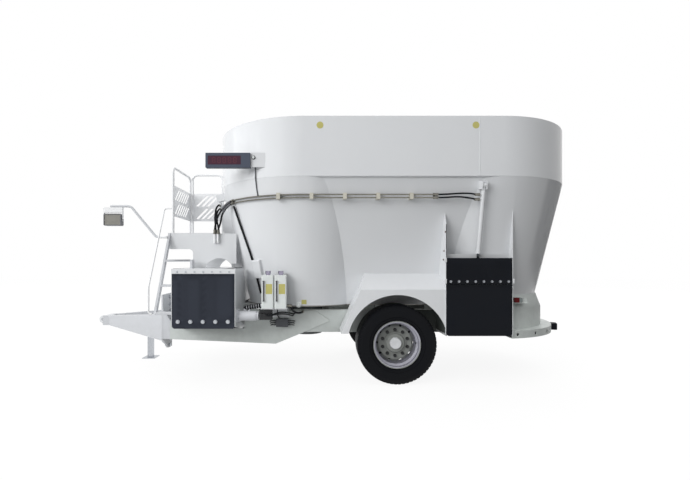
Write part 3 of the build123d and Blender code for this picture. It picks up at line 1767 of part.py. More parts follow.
def conduit():
    # A black conduit down the front cone, from the pipes to the valve block
    gap = conduit_radius + seat_gap
    route = ((48, 60, 5), (38, 85, 12), (36.5, 230, 8), (46, 778, 7), (50, 1225, 0.2))
    points = [cone_place(turn, pipe_z - drop, gap + lift) for turn, drop, lift in route]
    return hose(points, conduit_radius)


def display_cable():
    # Down the belt from the display bracket to the pipes
    gap = cable_radius + seat_gap
    angle = math.radians(180 + cable_turn)
    x, y, _ = around(front_auger_x, tub_radius + gap, angle, seam_z)
    bend = around(front_auger_x, tub_radius + gap + cable_lift, angle, seam_z)
    low = pipe_z + pipe_gap / 2 + pipe_radius + cable_foot
    return hose([(x, y, display_z - cable_top), bend, cone_place(cable_turn, low, gap)], cable_radius)


def tank_hose():
    x = tank_x(1) + tank_width
    y = tank_near_y + tank_depth / 2
    face = -rail_half - rail_plate
    points = [(x, y, tank_bottom_z + 30), (x + 40, y, tank_bottom_z + 30), (x + 75, y + 50, tank_bottom_z - 50),
              (x + 130, y + 130, rail_top_z - 25), (x + 185, face - 100, rail_top_z - 25),
              (x + 185, face, rail_top_z - 25)]
    return hose(points, hose_radius)


def motor_hose():
    # A ribbed sleeve over the hose from the motor's port to the first tank
    x = conveyor_rear_x + motor_length - motor_port_setback
    top = roller_z + motor_radius + motor_port_height
    level = top + sleeve_rise
    points = [(x, -roller_y, top), (x, -roller_y, level), (tank_front_x, -roller_y, level)]
    path = FilletPolyline(*points, radius=sleeve_bend)
    ends = 2 * sleeve_radius / path.length
    pitch = (1 - 2 * ends) / sleeve_ribs
    stations = [(0, sleeve_radius)]
    for i in range(sleeve_ribs):
        start = ends + i * pitch
        for share, radius in ((0.05, sleeve_radius), (0.3, sleeve_rib_radius), (0.65, sleeve_rib_radius),
                              (0.9, sleeve_radius)):
            stations.append((start + share * pitch, radius))
    stations.append((1, sleeve_radius))
    rings = []
    for share, radius in stations:
        frame = Plane(origin=path @ share, x_dir=(0, 1, 0), z_dir=path % share)
        rings.append(frame * Circle(radius))
    bore = sweep(Plane(origin=path @ 0, x_dir=(0, 1, 0), z_dir=path % 0) * Circle(sleeve_bore), path=path)
    return loft(rings, ruled=True) - bore


def hoses():
    lines = side_hoses() + outer_front_hoses() + inner_front_hoses() + platform_fittings()
    return lines + [conduit(), display_cable(), tank_hose(), motor_hose()]


def tank_x(i):
    return tank_front_x + i * (tank_width + tank_gap)


def oil_tanks():
    tanks = []
    for i in range(2):
        tank = block(tank_x(i), tank_x(i) + tank_width, tank_near_y, tank_near_y + tank_depth, tank_bottom_z,
                     tank_bottom_z + tank_height)
        tanks.append(fillet(tank.edges().filter_by(Axis.Z), tank_corner))
    return tanks


def tank_fittings():
    pieces = []
    top = tank_bottom_z + tank_height
    for i in range(2):
        x = tank_x(i) + tank_width / 2
        y = tank_near_y + tank_depth / 2
        cap = Pos(x, y, top) * post(tank_cap_radius - tank_cap_lip, tank_cap_neck)
        cap += Pos(x, y, top + tank_cap_neck) * post(tank_cap_radius, tank_cap_height)
        pieces.append(cap)
        sight_x = tank_x(i) + sight_edge
        sight_y = tank_near_y - sight_standoff
        low = tank_bottom_z + sight_low
        high = top - sight_high
        sight = rod((sight_x, sight_y, low), (sight_x, sight_y, high), sight_radius)
        for z in (low, high - sight_lug_height):
            sight += block(sight_x - sight_lug_half, sight_x + sight_lug_half, tank_near_y - sight_lug_depth,
                           tank_near_y, z, z + sight_lug_height)
        pieces.append(sight)
    return pieces


def tank_bracket():
    # A shelf under both tanks on a leg that lies against the chassis side plate
    x0 = tank_front_x - shelf_overhang
    x1 = tank_x(1) + tank_width + shelf_overhang
    face = -rail_half - rail_plate
    shelf = block(x0, x1, tank_near_y - shelf_lip, face, tank_bottom_z - tank_shelf, tank_bottom_z)
    leg = block(x0, x1, face - tank_shelf, face, rail_top_z - shelf_leg_drop, tank_bottom_z)
    gusset = slab_x([(face, tank_bottom_z), (tank_near_y + shelf_gusset_setback, tank_bottom_z - tank_shelf),
                     (face, rail_top_z - shelf_gusset_drop)], x1 - tank_shelf, x1)
    return shelf + leg + gusset


def junction_box():
    face = -rail_half - rail_plate
    x0 = junction_x - junction_width / 2
    z0 = junction_z - junction_height / 2
    box = block(x0, x0 + junction_width, face - junction_depth, face, z0, z0 + junction_height)
    box = fillet(box.edges().filter_by(Axis.Y), junction_corner)
    y = face - junction_depth / 2
    start = x0 - cable_gland_reach
    end = x0 + junction_width + cable_gland_reach
    for z in spread(z0 + cable_gland_edge, z0 + junction_height - cable_gland_edge, cable_glands):
        box += rod((start, y, z), (end, y, z), cable_gland_radius)
    return box


def valve_block():
    # The hydraulic valve block hangs under the tank shelf
    x0 = tank_front_x - valve_lead
    top = tank_bottom_z - tank_shelf
    y0 = tank_near_y + valve_setback
    body = block(x0, x0 + valve_length, y0, y0 + valve_depth, top - valve_height, top)
    middle = top - valve_height / 2
    for x in spread(x0 + spool_edge, x0 + valve_length - spool_edge, spools):
        body += rod((x, y0, middle), (x, y0 - spool_reach, middle), spool_radius)
    return body


def display_case():
    case = block(display_x - display_width / 2, display_x + display_width / 2, display_y - display_depth / 2,
                 display_y + display_depth / 2, display_z - display_height / 2, display_z + display_height / 2)
    case = fillet(case.edges().filter_by(Axis.Y), display_corner)
    return case - display_window()


def display_window():
    y = display_y - display_depth / 2
    left = display_x - display_width / 2 + window_side_edge
    rise = display_height / 2 - window_edge
    return block(left, left + window_width, y, y + window_thickness, display_z - rise, display_z + rise)


def display_bracket():
    half = display_arm_sheet / 2
    arm = block(display_end_x, display_end_x + display_arm_reach, display_y - half, display_y + half,
                display_z - display_arm_low, display_z + display_arm_high)
    arm -= stadium(tub_radius, seam_z, rim_z)
    arm = max(arm.solids(), key=lambda piece: -piece.center().X)
    return arm


def brackets():
    pieces = [tank_bracket(), display_bracket()] + pair(lamp_shelf())
    return pieces + cylinder_bracket(side_slope) + cylinder_bracket(front_slope)


def bolts():
    pieces = [hex_bolt(place, (1, 0, 0), 2 * head_plate, head_bolt_radius) for place in head_bolt_places()]
    for place in outlet_bolt_places():
        pieces.append(hex_bolt(place, (0, 1, 0), rubber_thickness + door_thickness, outlet_bolt_radius))
    return pieces


def build_parts():
    left_hub = group(wheel_hub())
    front_screw = auger_screw(front_auger_x)
    rear_screw = auger_screw(rear_auger_x)
    return {
        "chassis_rails": group(pair(side_rail()) + pair(front_side_plate())),
        "chassis_crossmembers": group(crossmembers() + [head_plates()[0]]),
        "rear_skirt": group(rear_skirt()),
        "rear_buffers": group(pair(rear_buffer())),
        "drawbar": group(drawbar()),
        "bolts": group(bolts()),
        "axle_beam": axle_beam(),
        "load_cells": group(load_cells()),
        "tub_floor": tub_floor(),
        "tub_front_shell": tub_front_shell(),
        "tub_rear_shell": tub_rear_shell(),
        "tub_side_panels": group([tub_side_panels()]),
        "tub_belt": tub_belt(),
        "gearboxes": group([gearbox(front_auger_x), gearbox(rear_auger_x)]),
        "fenders": group(pair(fender())),
        "door_rails": group([outlet_rail(outlet_front_x, front_rail_end_z, front_rail_tuck),
                             outlet_rail(outlet_rear_x - outlet_plate, rear_rail_end_z, rear_rail_tuck)]
                            + pair(front_rail())),
        "outlet_plates": group(outlet_plates()),
        "outlet_seal": outlet_seal(),
        "cylinder_barrels": group([cylinder_barrel(side_slope, -1), cylinder_barrel(front_slope, 1)]),
        "brackets": group(brackets()),
        "side_pipes": group(side_pipes()),
        "pipe_clips": group(pipe_clips()),
        "hoses": group(hoses()),
        "oil_tanks": group(oil_tanks()),
        "tank_fittings": group(tank_fittings()),
        "control_boxes": group([junction_box(), valve_block()]),
        "display_case": display_case(),
        "display_window": display_window(),
        "platform": group(platform()),
        "railing": group(railing() + [handrail()] + lamp_arm()),
        "railing_panels": group(railing_panels()),
        "ladder": group(ladder()),
        "conveyor_plates": group(conveyor_plates()),
        "conveyor_bed": group(conveyor_bed()),
        "conveyor_belt": conveyor_belt(),
        "conveyor_motor": conveyor_motor(),
        "rear_lamps": group(pair(rear_lamp())),
        "stand_tube": stand_tube(),
        "tyre_left": tyre(),
        "tyre_right": mirrored(tyre()),
        "rim_left": wheel_rim(),
        "rim_right": mirrored(wheel_rim()),
        "hub_left": left_hub,
        "hub_right": mirrored(left_hub),
        "auger_front": front_screw,
        "auger_rear": rear_screw,
        "knives_front": group(auger_knives(front_auger_x, front_screw)),
        "knives_rear": group(auger_knives(rear_auger_x, rear_screw)),
        "driveline": driveline(),
        "side_door": group(side_door()),
        "front_door": group(front_door()),
        "drive_roller": roller(-roller_y, conveyor_rear_x + drive_shaft_reach),
        "idler_roller": roller(roller_y, conveyor_rear_x + roller_shaft_stub),
        "conveyor_flap": conveyor_flap(),
        "flap_weight": group(flap_weight()),
        "outlet_curtain": outlet_curtain(),
        "lamp_head": lamp_head(),
        "lamp_glass": lamp_glass(),
        "stand_leg": stand_leg(),
        "hitch_eye": hitch_eye(),
    }


os.makedirs("parts", exist_ok=True)
for name, shape in build_parts().items():
    export_step(shape, f"parts/{name}.step")
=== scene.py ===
import json
import math

import bpy
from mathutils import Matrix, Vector


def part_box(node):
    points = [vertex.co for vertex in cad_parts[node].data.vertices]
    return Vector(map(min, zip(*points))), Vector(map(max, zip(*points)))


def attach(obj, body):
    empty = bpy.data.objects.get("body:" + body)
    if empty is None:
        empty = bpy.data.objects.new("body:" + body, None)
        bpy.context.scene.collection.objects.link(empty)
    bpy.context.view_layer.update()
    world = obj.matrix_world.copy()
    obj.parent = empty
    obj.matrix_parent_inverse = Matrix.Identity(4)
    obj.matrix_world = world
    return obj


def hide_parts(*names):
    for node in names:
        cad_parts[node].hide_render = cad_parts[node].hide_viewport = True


# A trailed feed mixer wagon in metres: +X towards the rear, -Y the left side, +Z up

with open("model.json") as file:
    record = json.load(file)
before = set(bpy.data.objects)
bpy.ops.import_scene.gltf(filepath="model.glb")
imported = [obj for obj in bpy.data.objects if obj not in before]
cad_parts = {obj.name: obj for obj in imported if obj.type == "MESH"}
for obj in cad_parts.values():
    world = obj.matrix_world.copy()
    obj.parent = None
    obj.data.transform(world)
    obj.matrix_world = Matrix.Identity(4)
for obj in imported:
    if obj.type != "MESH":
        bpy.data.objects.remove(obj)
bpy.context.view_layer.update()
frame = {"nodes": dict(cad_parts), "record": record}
record = frame["record"]

ORIGIN = (0, 0, 0)
REAR = (1, 0, 0)
LEFT = (0, -1, 0)
RIGHT = (0, 1, 0)
UP = (0, 0, 1)
AXLE = Vector((0.903, 0.0, 0.5))
WHEEL_Y = 0.9245
FRONT_AUGER_X = -0.261
REAR_AUGER_X = 2.166
TUB_RADIUS = 1.25
SEAM_Z = 2.585
FLOOR_TOP = 0.972
CONE_BOTTOM_RADIUS = 0.886
CONE_SLOPE = (TUB_RADIUS - CONE_BOTTOM_RADIUS) / (SEAM_Z - FLOOR_TOP)
HEAD_X = -2.083


def body_of(node):
    for body, nodes in record["behaviour"]["bodies"].items():
        if node in nodes:
            return body


def cone_radius(z):
    return CONE_BOTTOM_RADIUS + CONE_SLOPE * (z - FLOOR_TOP)


# Handling of pieces

def drop_all():
    bpy.ops.object.select_all(action="DESELECT")


def edit():
    bpy.ops.object.mode_set(mode="EDIT")


def leave():
    bpy.ops.object.mode_set(mode="OBJECT")


def take_all():
    bpy.ops.mesh.select_all(action="SELECT")


def settle():
    # Puts the active piece's place, turn and size into its mesh
    bpy.ops.object.transform_apply(location=True, rotation=True, scale=True)


def only(piece):
    drop_all()
    piece.select_set(True)
    bpy.context.view_layer.objects.active = piece


def open_mesh(piece, mode):
    only(piece)
    edit()
    bpy.ops.mesh.select_mode(type=mode)
    bpy.ops.mesh.select_all(action="DESELECT")
    leave()


def close_mesh():
    leave()
    settle()


def pick_faces(piece, test):
    # Selects the faces whose middle and normal pass the test and goes into edit mode
    open_mesh(piece, "FACE")
    for face in piece.data.polygons:
        face.select = test(face.center, face.normal)
    edit()


def pick_edges(piece, test):
    # Selects the edges whose two ends pass the test and goes into edit mode
    open_mesh(piece, "EDGE")
    points = piece.data.vertices
    for edge in piece.data.edges:
        edge.select = test(points[edge.vertices[0]].co, points[edge.vertices[1]].co)
    edit()


def pick_points(piece, test):
    # Selects the points that pass the test and goes into edit mode
    open_mesh(piece, "VERT")
    for point in piece.data.vertices:
        point.select = test(point.co)
    edit()


def apply_all(piece):
    only(piece)
    for modifier in list(piece.modifiers):
        bpy.ops.object.modifier_apply(modifier=modifier.name)


def round_edges(piece, width, steps=2, angle=35):
    bevel = piece.modifiers.new("edges", "BEVEL")
    bevel.width = width
    bevel.segments = steps
    bevel.limit_method = "ANGLE"
    bevel.angle_limit = math.radians(angle)
    apply_all(piece)


def smooth(piece, angle=38):
    only(piece)
    bpy.ops.object.shade_smooth_by_angle(angle=math.radians(angle))


def flatten(piece):
    # Large faces keep their own normals, so that broken edges don't shade them
    even = piece.modifiers.new("flats", "WEIGHTED_NORMAL")
    even.weight = 100
    even.keep_sharp = True
    apply_all(piece)


def dress(piece, material, node):
    # A finish, and the body of the node that the piece belongs to
    piece.data.materials.clear()
    piece.data.materials.append(material)
    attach(piece, body_of(node))
    return piece


def repaint(piece, material, test):
    # A second finish on the faces whose middle and normal pass the test
    piece.data.materials.append(material)
    number = len(piece.data.materials) - 1
    for face in piece.data.polygons:
        if test(face.center, face.normal):
            face.material_index = number


def bar(name, low, high):
    # A bar between two corners, ready to be shaped
    drop_all()
    middle = (Vector(low) + Vector(high)) / 2
    size = Vector(high) - Vector(low)
    bpy.ops.mesh.primitive_cube_add(size=1, location=middle)
    piece = bpy.context.object
    piece.name = name
    piece.scale = size
    settle()
    return piece


def lathe(name, outline, centre, axis, out, steps):
    # An outline of (along the axis, radius) points drawn point by point and spun about the axis
    along = Vector(axis)
    outwards = Vector(out)
    places = [Vector(centre) + along * run + outwards * radius for run, radius in outline]
    drop_all()
    bpy.ops.mesh.primitive_plane_add(size=0.01, location=places[0])
    piece = bpy.context.object
    piece.name = name
    settle()
    edit()
    take_all()
    bpy.ops.mesh.merge(type="CENTER")
    bpy.ops.mesh.select_mode(type="VERT")
    take_all()
    for before, after in zip(places, places[1:]):
        bpy.ops.mesh.extrude_vertices_move(TRANSFORM_OT_translate={"value": after - before})
    take_all()
    bpy.ops.mesh.spin(steps=steps, angle=2 * math.pi, center=centre, axis=along)
    take_all()
    bpy.ops.mesh.remove_doubles(threshold=0.00005)
    bpy.ops.mesh.normals_make_consistent(inside=False)
    close_mesh()
    return piece


def solid_round(name, rim, centre, axis, out, steps):
    # A solid round piece, closed to the axis at both ends of its rim
    return lathe(name, [(rim[0][0], 0), *rim, (rim[-1][0], 0)], centre, axis, out, steps)


def tube(name, points, radius, material, node):
    # A hose or rod along a smooth line whose control points are given
    line = bpy.data.curves.new(name, "CURVE")
    line.dimensions = "3D"
    spline = line.splines.new("NURBS")
    spline.points.add(len(points) - 1)
    for point, place in zip(spline.points, points):
        point.co = (place[0], place[1], place[2], 1.0)
    spline.order_u = 3
    spline.use_endpoint_u = True
    spline.resolution_u = 10
    line.bevel_depth = radius
    line.bevel_resolution = 5
    line.use_fill_caps = True
    piece = bpy.data.objects.new(name, line)
    bpy.context.collection.objects.link(piece)
    return dress(piece, material, node)


def twin_of(piece, name):
    twin = piece.copy()
    twin.data = piece.data.copy()
    twin.name = name
    bpy.context.collection.objects.link(twin)
    only(twin)
    return twin


def copy_of(piece, name, move):
    twin = twin_of(piece, name)
    bpy.ops.transform.translate(value=move)
    settle()
    return twin


def set_along(model, name, place, direction):
    # A copy of a fitting that was made along +X at the origin, set at a place and turned along a direction
    twin = twin_of(model, name)
    twin.location = place
    twin.rotation_euler = Vector(direction).to_track_quat("X", "Z").to_euler()
    settle()
    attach(twin, "wagon")
    return twin


def round_corners(plate, axis, radius, steps):
    # Rounds or clips the corners of a thin plate, whose thickness is along an axis, 0 to 2
    pick_edges(plate, lambda a, b: abs(a[axis] - b[axis]) > 0.0005)
    bpy.ops.mesh.bevel(offset=radius, segments=steps)
    leave()


def slice_faces(piece, axis, stations):
    # Parts the faces of a piece by planes square to an axis, 0 to 2, and leaves its shape as it is
    only(piece)
    edit()
    for station in stations:
        spot = [station if number == axis else 0 for number in range(3)]
        square = [int(number == axis) for number in range(3)]
        take_all()
        bpy.ops.mesh.bisect(plane_co=spot, plane_no=square)
    leave()


def joined(name, pieces):
    drop_all()
    for piece in pieces:
        piece.select_set(True)
    bpy.context.view_layer.objects.active = pieces[0]
    bpy.ops.object.join()
    pieces[0].name = name
    return pieces[0]


def skin(node, material, edge=0.0025, angle=38):
    # A node's shape with its loose facets merged, its flats made whole and its edges broken
    source = frame["nodes"][node]
    piece = bpy.data.objects.new("skin_" + node, source.data.copy())
    bpy.context.collection.objects.link(piece)
    only(piece)
    edit()
    take_all()
    bpy.ops.mesh.remove_doubles(threshold=0.00002)
    bpy.ops.mesh.dissolve_limited(angle_limit=math.radians(0.4))
    leave()
    bpy.ops.mesh.customdata_custom_splitnormals_clear()
    if edge:
        round_edges(piece, edge)
    smooth(piece, angle)
    flatten(piece)
    dress(piece, material, node)
    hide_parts(node)
    return piece


# Finishes

def linear(code):
    # A colour written as sRGB hex, made linear
    channels = []
    for start in (1, 3, 5):
        value = int(code[start:start + 2], 16) / 255
        channels.append(value / 12.92 if value <= 0.04045 else ((value + 0.055) / 1.055) ** 2.4)
    return (*channels, 1.0)


def two_tones(first, second):
    # The settings of a mix between two colours
    return {"data_type": "RGBA", 6: linear(first), 7: linear(second)}


def per_metre(size):
    # How often a pattern of this size in millimetres repeats in a metre
    return 1000 / size


def first_socket(origin):
    # A node stands for its first output
    return origin.outputs[0] if isinstance(origin, bpy.types.Node) else origin


def add(tree, kind, settings, links):
    # A shader node with its settings by socket or by property, and its links from sockets or whole nodes
    made = tree.nodes.new("ShaderNode" + kind)
    for key, value in settings.items():
        if isinstance(key, int) or key in made.inputs:
            made.inputs[key].default_value = value
        else:
            setattr(made, key, value)
    for key, origin in links.items():
        tree.links.new(first_socket(origin), made.inputs[key])
    return made


def shader_of(material):
    return material.node_tree.nodes["Principled BSDF"]


def place_in(material):
    return material.node_tree.nodes["Texture Coordinate"].outputs["Object"]


def start_material(name):
    material = bpy.data.materials.new(name)
    material.use_nodes = True
    tree = material.node_tree
    add(tree, "TexCoord", {}, {})
    return material, tree, shader_of(material), place_in(material)


def feed(tree, shader, colour, rough, bump):
    # Links the three patterns of a finish to its shader
    for key, origin in (("Base Color", colour), ("Roughness", rough), ("Normal", bump)):
        tree.links.new(first_socket(origin), shader.inputs[key])


def put_bump(material, bump):
    # Another bump in place of the one that the finish was made with
    material.node_tree.links.new(bump.outputs[0], shader_of(material).inputs["Normal"])


def put_ridges(material, direction, pitch, depth):
    # Fine moulded ridges across a direction, their pitch in millimetres
    tree = material.node_tree
    settings = {"bands_direction": direction, "Scale": per_metre(pitch) / 20}
    ridges = add(tree, "TexWave", settings, {"Vector": place_in(material)})
    bump = add(tree, "Bump", {"Strength": 0.5, "Distance": depth}, {"Height": ridges.outputs["Fac"]})
    put_bump(material, bump)


def painted(name, clean, shade, dust_and_shade, dust_and_shade_top, gloss, peel):
    # Sprayed paint on steel: a faint cloud in its tone, orange peel, and a film of dust and painted shade that
    # thickens downwards
    material, tree, shader, place = start_material(name)
    cloud = add(tree, "TexNoise", {"Scale": per_metre(600), "Detail": 3.0}, {"Vector": place})
    tone = add(tree, "Mix", two_tones(clean, shade), {0: cloud})
    height = add(tree, "SeparateXYZ", {}, {0: place}).outputs["Z"]
    # Dust together with painted shade: the film grows from its top height down towards the ground
    low = add(tree, "MapRange", {1: 0.1, 2: dust_and_shade_top, 3: 1.0, 4: 0.0}, {0: height})
    grime = add(tree, "TexNoise", {"Scale": per_metre(90), "Detail": 5.0, "Roughness": 0.6}, {"Vector": place})
    film = add(tree, "MapRange", {1: 0.4, 2: 0.75, 3: 0.06, 4: 0.36}, {0: grime})
    share = add(tree, "Math", {"operation": "MULTIPLY"}, {0: low, 1: film})
    colour = add(tree, "Mix", {"data_type": "RGBA", 7: linear(dust_and_shade)}, {0: share, 6: tone.outputs[2]})
    rough = add(tree, "MapRange", {1: 0.0, 2: 0.7, 3: gloss, 4: gloss + 0.3}, {0: share})
    ripple = add(tree, "TexNoise", {"Scale": per_metre(6), "Detail": 2.0}, {"Vector": place})
    bump = add(tree, "Bump", {"Strength": peel, "Distance": 0.0004}, {"Height": ripple})
    feed(tree, shader, colour.outputs[2], rough, bump)
    return material


def gloss_white_enamel():
    # Bright stoving enamel: sharp soft-edged highlights, hardly any dust on the tub
    return painted("gloss_white_enamel", "#DCDEE0", "#D7D9DC", "#B4B6B6", 1.5, 0.2, 0.12)


def dirt_and_shade_enamel():
    # The same enamel on the chassis, greyed by road dust and darkened as painted shade under the tub
    return painted("dirt_and_shade_enamel", "#CDD2D0", "#C3C9C6", "#8D918C", 1.3, 0.36, 0.16)


def lit_white_enamel():
    # A whiter copy of the enamel on the railing and the hose elbows, as painted light on the brightly lit
    # front of the wagon
    return painted("lit_white_enamel", "#ECEDEE", "#E7E8EA", "#B9BAB8", 1.4, 0.3, 0.12)


def drawbar_shade_enamel():
    # Grey-white enamel, a darker copy of the tub's white as painted shade, on the drawbar, its head plates,
    # the ladder and the lamp's arm
    return painted("drawbar_shade_enamel", "#CBCDD1", "#C5C7CB", "#A3A5A3", 1.0, 0.32, 0.14)


def silver_wheel_enamel():
    # Aluminium-flake paint on a rolled rim: a soft cool sheen
    material = painted("silver_wheel_enamel", "#A9A9B4", "#9C9CA7", "#77766F", 0.9, 0.3, 0.1)
    shader_of(material).inputs["Metallic"].default_value = 0.5
    return material


def wheel_disc_enamel():
    # The same silver on the pressed disc, dulled by brake and road dust
    return painted("wheel_disc_enamel", "#8F928F", "#848783", "#6B6B64", 1.0, 0.42, 0.2)


def deck_plate_enamel():
    # Enamel over tread plate: short raised bars that stand square to each other, 30 mm apart
    material = painted("deck_plate_enamel", "#D3D5D8", "#CACCD0", "#A2A29B", 2.4, 0.3, 0.1)
    tree = material.node_tree
    place = place_in(material)
    turned = add(tree, "Mapping", {"Rotation": (0.0, 0.0, math.radians(45))}, {"Vector": place})
    bars = add(tree, "TexBrick", {"Scale": per_metre(60), "Mortar Size": 0.09, "Mortar Smooth": 0.3},
               {"Vector": turned})
    bump = add(tree, "Bump", {"Strength": 0.6, "Distance": 0.002, "invert": True},
               {"Height": bars.outputs["Fac"]})
    put_bump(material, bump)
    return material


def cream_clip():
    # Cream polypropylene pipe clip, a matt moulding
    return moulded("cream_clip", "#CBC8BC", "#BDBAAD", 0.5, 5)


def cast_iron_paint():
    # Grey machine paint over sand-cast iron
    return painted("cast_iron_paint", "#7E8284", "#6F7375", "#4A4945", 1.4, 0.42, 0.8)


def motor_paint():
    # Light grey paint on the cast hydraulic motor
    return painted("motor_paint", "#D2D4D9", "#C6C8CD", "#8F8F8A", 1.2, 0.3, 0.4)


def phosphate_black_and_shade():
    # Near-black phosphated steel: valve block, wheel nuts; the same near-black is painted shade on the brake
    # plates and the hubs' inner parts
    return painted("phosphate_black_and_shade", "#1C1E21", "#15171A", "#35352F", 1.1, 0.45, 0.5)


def arch_shade_coat():
    # Painted shade: a dark dull coat inside the mudguards and on the rails behind the wheels, where the arches
    # lie in shade
    return painted("arch_shade_coat", "#3B403E", "#323634", "#4A4B45", 1.4, 0.6, 1.0)


def rubber(name, base, bloom, grit, depth, rough):
    # Black rubber: matt, with a faint grey bloom in patches and grit in the surface
    material, tree, shader, place = start_material(name)
    patch = add(tree, "TexNoise", {"Scale": per_metre(260), "Detail": 5.0}, {"Vector": place})
    tone = add(tree, "Mix", two_tones(base, bloom), {0: patch})
    fine = add(tree, "TexNoise", {"Scale": per_metre(grit), "Detail": 4.0}, {"Vector": place})
    dull = add(tree, "MapRange", {1: 0.3, 2: 0.7, 3: rough, 4: rough + 0.18}, {0: patch})
    bump = add(tree, "Bump", {"Strength": 0.4, "Distance": depth}, {"Height": fine})
    feed(tree, shader, tone.outputs[2], dull, bump)
    shader.inputs["Specular IOR Level"].default_value = 0.12
    return material


def tyre_rubber():
    # Moulded tyre rubber: deep black with a faint cool bloom
    return rubber("tyre_rubber", "#050608", "#0B0D12", 7, 0.0006, 0.45)


def rubber_sheet_and_gap_shadow():
    # Calendered rubber sheet, smooth and blue-black; the same black is painted shadow on the outlet upright's
    # narrow face
    return rubber("rubber_sheet_and_gap_shadow", "#0B0D12", "#12151B", 12, 0.0004, 0.5)


def flap_rubber():
    # The discharge flap's thicker sheet, greyed by feed
    return rubber("flap_rubber", "#2B2E36", "#363A43", 12, 0.0004, 0.55)


def hose_rubber():
    # Wrapped hydraulic hose with its cloth print
    return rubber("hose_rubber", "#101115", "#191B1F", 3, 0.0004, 0.42)


def cable_sheath():
    # Grey PVC sheath of the display's cable
    return rubber("cable_sheath", "#5F6165", "#6B6D71", 4, 0.0002, 0.4)


def corrugated_conduit():
    # Split polyamide conduit: fine rings, 5 mm apart, across a black tube
    material = rubber("corrugated_conduit", "#121316", "#1C1D21", 4, 0.0002, 0.4)
    put_ridges(material, "Z", 5, 0.001)
    return material


def metal(name, base, other, patch_size, low, high, grain):
    # Bare or plated metal: tone and gloss change over small crystals or rub marks
    material, tree, shader, place = start_material(name)
    cells = add(tree, "TexVoronoi", {"Scale": per_metre(patch_size)}, {"Vector": place})
    level = add(tree, "SeparateColor", {}, {0: cells.outputs["Color"]})
    tone = add(tree, "Mix", two_tones(base, other), {0: level})
    smear = add(tree, "TexNoise", {"Scale": per_metre(grain), "Detail": 5.0}, {"Vector": place})
    rough = add(tree, "MapRange", {1: 0.3, 2: 0.7, 3: low, 4: high}, {0: smear})
    bump = add(tree, "Bump", {"Strength": 0.15, "Distance": 0.0002}, {"Height": smear})
    feed(tree, shader, tone.outputs[2], rough, bump)
    shader.inputs["Metallic"].default_value = 1.0
    return material


def zinc_plate():
    # Bright zinc plating on bolts, rollers and the stand's leg: pale, with small crystals
    return metal("zinc_plate", "#C6C9CE", "#B2B6BB", 9, 0.25, 0.45, 14)


def dull_zinc():
    # Darker, duller zinc plating on the bolts of the outlet's seal
    return metal("dull_zinc", "#9A9DA2", "#8A8D92", 9, 0.35, 0.5, 14)


def passivated_pipe():
    # Hydraulic pipe and hose ends in yellow-grey passivation, duller than bright zinc
    return metal("passivated_pipe", "#8A8880", "#77756E", 14, 0.32, 0.5, 12)


def worn_steel():
    # Auger and floor steel polished by feed, duller and darker where it isn't rubbed
    return metal("worn_steel", "#908F8C", "#82807C", 40, 0.25, 0.5, 25)


def hard_chrome():
    # Ground chrome on the tank caps
    return metal("hard_chrome", "#A6A2B2", "#948FA2", 12, 0.12, 0.28, 18)


def rod_painted_dark_reflection():
    # Oiled piston rod, its steel darkened as a painted reflection of the dark rubber and ground, dark between
    # its bright streaks
    return metal("rod_painted_dark_reflection", "#55585C", "#46494D", 20, 0.15, 0.3, 20)


def rusted_bolt():
    # Plain steel bolt with a brown film of rust
    return metal("rusted_bolt", "#7B5F55", "#5E453C", 4, 0.5, 0.75, 5)


def moulded(name, base, shade, rough, grit):
    # Injection or blow moulded plastic: even tone with a fine spark-eroded grain
    material, tree, shader, place = start_material(name)
    cloud = add(tree, "TexNoise", {"Scale": per_metre(120), "Detail": 3.0}, {"Vector": place})
    tone = add(tree, "Mix", two_tones(base, shade), {0: cloud})
    fine = add(tree, "TexNoise", {"Scale": per_metre(grit), "Detail": 2.0}, {"Vector": place})
    dull = add(tree, "MapRange", {1: 0.3, 2: 0.7, 3: rough, 4: rough + 0.14}, {0: fine})
    bump = add(tree, "Bump", {"Strength": 0.2, "Distance": 0.0002}, {"Height": fine})
    feed(tree, shader, tone.outputs[2], dull, bump)
    return material


def tank_polyethylene():
    # Blow-moulded natural polyethylene: milky, soft gloss, light seeps a little into it
    material = moulded("tank_polyethylene", "#DFE3E2", "#D6DBDA", 0.3, 8)
    shader = shader_of(material)
    shader.inputs["Subsurface Weight"].default_value = 0.2
    shader.inputs["Subsurface Radius"].default_value = (0.02, 0.02, 0.018)
    return material


def grey_housing():
    # Grey moulded ABS of the junction box
    return moulded("grey_housing", "#4A4D52", "#3E4146", 0.42, 4)


def grey_nylon_and_highlight():
    # Grey moulded nylon of the lamp's housing and the hose guards, dull and even; on the guards the grey is
    # partly a painted highlight of lit hose
    return moulded("grey_nylon_and_highlight", "#77787C", "#67686C", 0.4, 6)


def display_coat():
    # Dark blue-grey powder coat with a fine texture
    return moulded("display_coat", "#474E5D", "#3C4352", 0.45, 5)


def smoked_window():
    # Smoked red acrylic over the digits: dark, glossy only in a soft way behind its anti-glare etch
    material = moulded("smoked_window", "#4A2C39", "#402432", 0.5, 9)
    shader_of(material).inputs["Specular IOR Level"].default_value = 0.25
    return material


def digit_segments():
    # Unlit red segments behind the window
    return moulded("digit_segments", "#63303C", "#592934", 0.5, 20)


def lamp_lens():
    # Clear fluted glass over a dull reflector
    material = moulded("lamp_lens", "#9C9A92", "#88867E", 0.3, 30)
    shader = shader_of(material)
    shader.inputs["Transmission Weight"].default_value = 0.25
    shader.inputs["IOR"].default_value = 1.5
    return material


def lamp_reflector():
    # Vacuum-plated reflector bowl, grey with a warm tone
    return metal("lamp_reflector", "#8E8A7C", "#7C786A", 40, 0.2, 0.35, 30)


def lamp_bulb_highlight():
    # Warm yellow halogen capsule, its pale yellow a painted highlight in the lens
    return moulded("lamp_bulb_highlight", "#EFE6AE", "#E6DA94", 0.15, 20)


